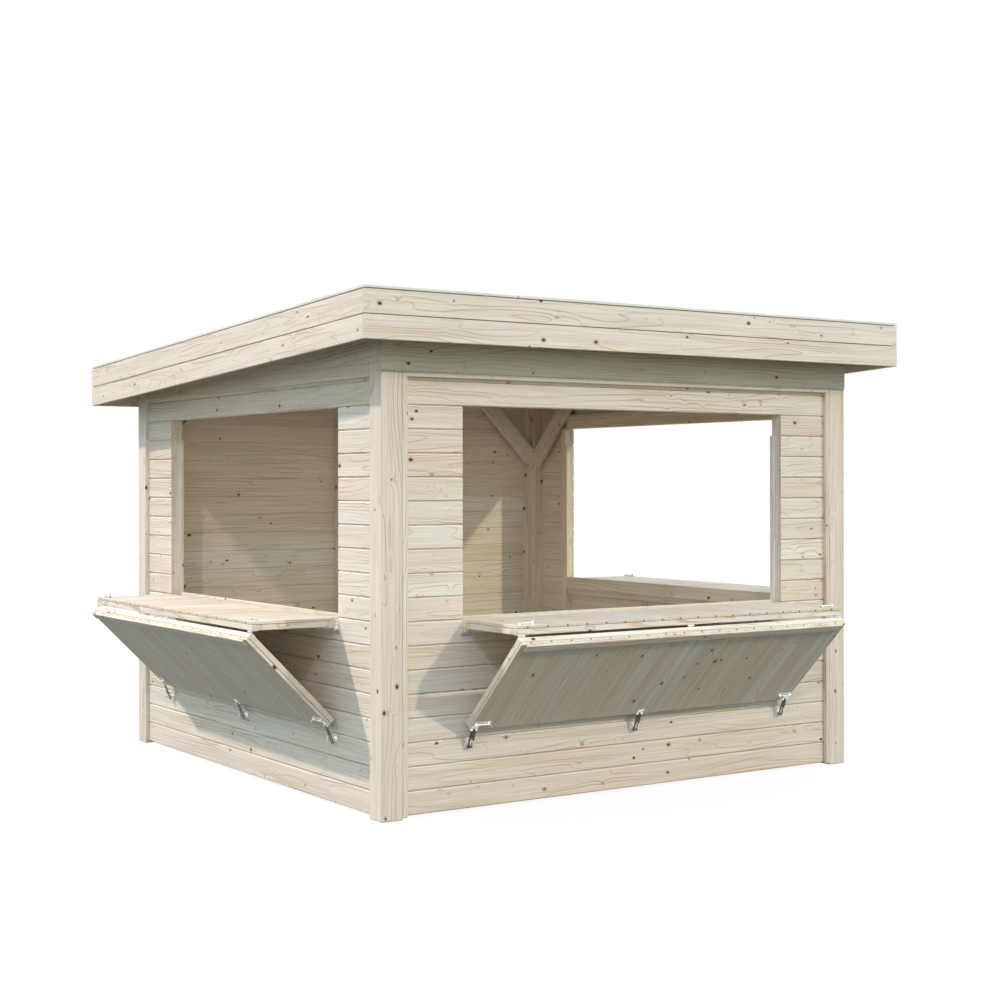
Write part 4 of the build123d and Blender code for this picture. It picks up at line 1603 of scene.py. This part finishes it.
# ---- back door -----------------------------------------------------------------------------
@dataclass
class BackDoor:
    """The ledged and braced door in the back wall, with strap hinges and a pull handle."""

    side: Side = Side.BACK
    cover: float = 108.0
    gap: float = 1.2
    board: float = 20.0
    bevel: float = 3.0
    inner_bevel: float = 1.0
    ledge_width: float = 110.0
    ledge_inset: float = 12.0
    brace_width: float = 90.0
    seam: float = 2.5  # from the door's edge to the middle of the gap beside it
    strap_gauge: float = 4.0
    strap_half: float = 18.0
    strap_start: float = 8.0  # from the seam
    strap_tip: float = 0.62  # width of its tip, over its width
    strap_round: float = 10.0
    strap_screws: tuple[float, ...] = (34.0, 104.0, 174.0)
    leaf_half: float = 28.8
    leaf_screws: tuple[tuple[float, float], ...] = ((14.0, -18.0), (30.0, 0.0), (14.0, 18.0))
    knuckles: tuple[tuple[float, float], ...] = ((-28.8, -9.9), (-9.0, 9.0), (9.9, 28.8))
    knuckle_radius: float = 6.0
    pin_half: float = 30.6
    pin_radius: float = 3.0
    bridge: float = 10.0
    tip_screw: float = 16.0
    handle_radius: float = 7.0
    handle_foot: float = 15.0  # from the ends of its bar
    rosette: float = 3.0
    place: Matrix = field(init=False)
    low: Vector = field(init=False)
    high: Vector = field(init=False)
    straps: list[float] = field(init=False)  # the middle height of each strap

    def __post_init__(self) -> None:
        """Take the door's places from its nodes, in millimetres."""
        self.place = self.side.place()
        self.low, self.high = (corner / MM for corner in self.side.span("back_door"))
        levels = sorted({round(corner.z, 1) for corner in corners_in(self.place, "back_door_fittings")})
        self.straps = [(low + high) / 2 for low, high in zip(levels[::2], levels[1::2])]

    def build(self) -> None:
        """Make the door, its hinges and its handle."""
        self.boards()
        self.ledges()
        self.strap_hinges()
        self.handle()

    def boards(self) -> None:
        """Make the upright boards, with a groove at each joint."""
        width = self.high.x - self.low.x
        count = round(width / self.cover)
        pieces = []
        for index in range(count):
            x0 = self.low.x + index * width / count
            x1 = x0 + width / count - self.gap * (index < count - 1)
            piece = block((x0, 0, self.low.z), (x1, self.board, self.high.z))
            ease(piece, self.bevel, lambda mid, way: abs(way.z) > 0.9 and mid.y < 1)
            ease(piece, self.inner_bevel, lambda mid, way: abs(way.z) > 0.9 and mid.y > self.board - 1)
            move_to(piece, self.place @ TO_METRES)
            pieces.append(add_grain(piece, f"door_board_{index}", Cut.BOARD))
        dress(joined(pieces, "back_door_boards"), Finish.SPRUCE, "root", "back_door")

    def ledges(self) -> None:
        """Make the ledges behind the straps and the braces between them."""
        x0, x1 = self.low.x + self.ledge_inset, self.high.x - self.ledge_inset
        y0, y1 = self.board, self.high.y
        half, side = self.ledge_width / 2, self.brace_width / 2
        pieces = [block((x0, y0, level - half), (x1, y1, level + half), self.bevel) for level in self.straps]
        for low, high in zip(self.straps, self.straps[1:]):
            foot, head = low + half, high - half
            run, rise = x1 - x0 - self.ledge_width, head - foot
            angle = math.atan2(rise, run)
            brace = block((0, y0, 0), (math.hypot(run, rise), y1, self.brace_width), self.bevel)
            start = (x0 + half + side * math.sin(angle), 0, foot - side * math.cos(angle))
            move_to(brace, Matrix.Translation(start) @ Matrix.Rotation(-angle, 4, "Y"))
            trim(brace, UP, (0, 0, foot + 1), (0, 0, head - 1))
            pieces.append(brace)
        for index, piece in enumerate(pieces):
            move_to(piece, self.place @ TO_METRES)
            add_grain(piece, f"door_ledge_{index}", Cut.SQUARE)
        dress(joined(pieces, "back_door_ledges"), Finish.SPRUCE, "root")

    def strap_hinges(self) -> None:
        """Make the tapered straps, their knuckles and the leaves beside the door."""
        bench = Bench("back_door_straps", "root", self.place)
        start, end = (corner.x / MM for corner in self.side.span("back_door_fittings"))
        half, seam, face = self.strap_half, self.low.x - self.seam, -self.strap_gauge
        axis = face - 2
        for level in self.straps:
            bench.keep(plate((start, face, level - self.leaf_half),
                                      (seam - self.strap_start, 0, level + self.leaf_half), 5.0, 0.6))
            strap = block((seam + self.strap_start, face, level - half), (end, 0, level + half))
            for corner in strap.data.vertices:
                if corner.co.x > end - 1:
                    corner.co.z = level + (corner.co.z - level) * self.strap_tip
            ease(strap, self.strap_round, lambda mid, way: abs(way.y) > 0.9 and mid.x > end - 1, 4)
            apply_bevel(strap, 0.8, 1, 50)
            bench.keep(strap)
            for index, (foot, head) in enumerate(self.knuckles):
                low, high = level + foot, level + head
                bench.keep(rod((seam, axis, low), (seam, axis, high), self.knuckle_radius, 16, 0.8))
                x = seam if index == 1 else seam - self.bridge
                bench.keep(plate((x, face, low), (x + self.bridge, -1, high), 0.8, 0.2))
            bench.keep(rod((seam, axis, level - self.pin_half), (seam, axis, level + self.pin_half),
                                    self.pin_radius, 10, 0.6))
            places = [(start + x, z) for x, z in self.leaf_screws]
            places += [(seam + x, 0) for x in self.strap_screws] + [(end - self.tip_screw, 0)]
            for x, z in places:
                bench.screw((x, face, level + z), OUT)
        bench.put(Finish.STEEL, "back_door_fittings")

    def handle(self) -> None:
        """Make the pull handle: a bar on two feet with rosettes."""
        bench = Bench("back_door_pull", "root", self.place)
        low, high = (corner / MM for corner in self.side.span("back_door_handle"))
        grip, radius = (low.x + high.x) / 2, self.handle_radius
        axis = low.y + radius
        bench.keep(rod((grip, axis, low.z), (grip, axis, high.z), radius, 20, 2.5))
        for foot in (low.z + self.handle_foot, high.z - self.handle_foot):
            bench.keep(rod((grip, 0, foot), (grip, axis, foot), radius * 0.75, 16))
            bench.keep(rod((grip, 0, foot), (grip, -self.rosette, foot), radius * 1.9, 20, 0.8))
        bench.put(Finish.STEEL, "back_door_handle")


# ---- light and camera ----------------------------------------------------------------------
@dataclass(frozen=True)
class Sun:
    """A soft directional lamp."""

    name: str
    way: Vec  # the direction in which its light travels
    strength: float
    colour: str
    softness: float = 1.5  # degrees

    def build(self) -> None:
        """Add the lamp."""
        deselect()
        bpy.ops.object.light_add(type="SUN")
        lamp = bpy.context.object
        lamp.name = self.name
        lamp.rotation_euler = Vector(self.way).to_track_quat("-Z", "Y").to_euler()
        lamp.data.energy = self.strength
        lamp.data.color = linear(self.colour)[:3]
        lamp.data.angle = math.radians(self.softness)


@dataclass(frozen=True)
class CabinFill:
    """Soft light in the cabin, as its boards pass on what comes in through the openings."""

    colour: str = "#fff5d6"
    power: float = 5.6  # watts of each of the two lamps
    margin: float = 0.35  # from the walls to the lamps
    low: float = 0.03
    high: float = 2.05

    def build(self) -> None:
        """Add one lamp on the ground, facing up, and one under the roof, facing down."""
        low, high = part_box("corner_posts")
        middle = (low + high) / 2
        for level, tilt in ((self.low, math.pi), (self.high, 0.0)):
            deselect()
            bpy.ops.object.light_add(type="AREA", location=(middle.x, middle.y, level), rotation=(tilt, 0, 0))
            lamp = bpy.context.object
            lamp.name = f"cabin_fill_{'up' if tilt else 'down'}"
            lamp.data.shape = "SQUARE"
            lamp.data.size = high.x - low.x - 2 * self.margin
            lamp.data.energy = self.power
            lamp.data.color = linear(self.colour)[:3]
            lamp.visible_camera = lamp.visible_glossy = lamp.visible_transmission = False


@dataclass(frozen=True)
class Studio:
    """A floor and a background that are seen as white, a coloured sky, and lamps."""

    left_sky: str = "#d1e5e3"
    right_sky: str = "#d2d4bf"
    high_sky: str = "#d3e9ff"
    sky_strength: float = 1.38
    floor_colour: str = "#464b47"  # met by the light alone, so that little comes up from below
    floor_size: float = 80.0
    shadow_share: float = 0.1  # how much of the floor's own shading the camera sees
    white: str = "#ffffff"
    lamps: tuple = (
        Sun("front_light", (-0.424, 0.756, -0.50), 1.09, "#ffeed2"),
        Sun("left_light", (0.488, 0.684, -0.541), 0.42, "#ffecf3"),
        Sun("side_light", (0.555, -0.383, -0.738), 2.3, "#ffeedd"),
        CabinFill(),
    )

    def build(self) -> None:
        """Add the floor, the sky and the lamps."""
        self.add_sky()
        self.add_floor()
        for lamp in self.lamps:
            lamp.build()

    def seen(self, node: Callable) -> Socket:
        """Share of a ray that comes from the camera or a mirror or glass.

        Args:
            node: Adds nodes to the tree.

        Returns:
            A socket that is 1 for those rays.
        """
        path = node("LightPath")
        shiny = node("Math", (path["Is Camera Ray"], path["Is Glossy Ray"]), operation="MAXIMUM")[0]
        return node("Math", (shiny, path["Is Transmission Ray"]), operation="MAXIMUM")[0]

    def add_sky(self) -> None:
        """Add the world: soft light, bluer from the left and from above, and plain white where it is seen."""
        world = bpy.data.worlds.new("studio")
        bpy.context.scene.world = world
        world.use_nodes = True
        world.node_tree.nodes.clear()
        node = partial(add, world.node_tree)
        x, _, z = node("SeparateXYZ", (node("TexCoord")["Generated"],))
        sky = linear(self.left_sky)
        for place, low, tint in ((x, -1.0, self.right_sky), (z, 0.0, self.high_sky)):
            share = node("MapRange", (place, low, 1.0, 0.0, 1.0))[0]
            sky = node("Mix", {0: share, 6: sky, 7: linear(tint)}, data_type="RGBA")[2]
        light = node("Background", (sky, self.sky_strength))[0]
        white = node("Background", (linear(self.white), 1.0))[0]
        node("OutputWorld", (node("MixShader", (self.seen(node), light, white))[0],))

    def add_floor(self) -> None:
        """Add the floor, which the camera sees as white with a faint shadow."""
        deselect()
        bpy.ops.mesh.primitive_plane_add(size=self.floor_size)
        floor = bpy.context.object
        floor.name = "studio_floor"
        material, node = new_material("studio_paper")
        paper = node("BsdfDiffuse", (linear(self.floor_colour),))[0]
        bright = node("BsdfDiffuse", (linear(self.white),))[0]
        glow = node("Emission", (linear(self.white), 1.0))[0]
        white = node("MixShader", (self.shadow_share, glow, bright))[0]
        node("OutputMaterial", (node("MixShader", (self.seen(node), paper, white))[0],))
        floor.data.materials.append(material)


@dataclass(frozen=True)
class Camera:
    """The camera, level and at eye height, off the front left corner."""

    place: Vec = (-5.3566, -8.2432, 1.5803)  # from the middle of the plan
    heading: float = 33.520  # degrees from +Y towards +X
    tilt: float = 0.021
    roll: float = -0.069
    lens: float = 60.07  # millimetres on a 36 mm sensor
    shift: tuple[float, float] = (0.0092, -0.0178)

    def build(self) -> None:
        """Add the camera and look through it."""
        deselect()
        low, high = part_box("corner_posts")
        middle = Vector(((low.x + high.x) / 2, (low.y + high.y) / 2, 0))
        bpy.ops.object.camera_add(location=middle + Vector(self.place))
        camera = bpy.context.object
        aim = Matrix.Rotation(math.radians(-self.heading), 3, "Z")
        aim = aim @ Matrix.Rotation(math.radians(90 + self.tilt), 3, "X")
        aim = aim @ Matrix.Rotation(math.radians(self.roll), 3, "Z")
        camera.rotation_euler = aim.to_euler()
        camera.data.lens = self.lens
        camera.data.shift_x, camera.data.shift_y = self.shift
        camera.data.clip_end = 200
        bpy.context.scene.camera = camera


# ---- the whole stall -----------------------------------------------------------------------
FRAMING = (
    Framing("corner_posts", 4 * MM),
    Framing("front_beam", 3 * MM),
    Framing("back_beam", 3 * MM),
    Framing("side_beams", 2 * MM),
    Framing("top_plates", 2 * MM),
    Framing("rafters", 2 * MM),
    Framing("knee_braces", 3 * MM),
    Framing("wall_battens", 2 * MM),
    Framing("hatch_stops", 1.5 * MM),
    Framing("fascia_front", 1.5 * MM, cut=Cut.BOARD, slit=4 * MM),
    Framing("fascia_back", 1.5 * MM, cut=Cut.BOARD, slit=4 * MM),
    Framing("fascia_sides", 1.5 * MM, cut=Cut.BOARD, slit=4 * MM),
    Framing("roof_edge_trim", 1.5 * MM, finish=Finish.PRIMED),
    Framing("front_wall_frame"),
    Framing("right_wall_frame"),
    Framing("left_wall_frame"),
    Framing("back_wall_frame"),
)


def main() -> None:
    """Build the finishes, the stall's pieces, the light and the camera."""
    logging.basicConfig(level=logging.INFO)
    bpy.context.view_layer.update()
    bpy.context.scene.view_settings.view_transform = "Standard"
    for finish, recipe in RECIPES.items():
        MATERIALS[finish] = recipe.build()
    for node in frame["nodes"].values():
        node.data.materials.clear()
        node.data.materials.append(MATERIALS[Finish.STEEL])
    for side in Side:
        BoardWall(side).build()
    for timbers in FRAMING:
        timbers.build()
    RoofDeck().build()
    BackDoor().build()
    for side in (Side.FRONT, Side.RIGHT, Side.LEFT):
        for leaf in ("counter", "prop"):
            HatchPanel(side, leaf).build()
        HatchFittings(side).build()
        EdgeNails(side).build()
    Studio().build()
    Camera().build()
    deselect()


if __name__ == "__main__":
    main()
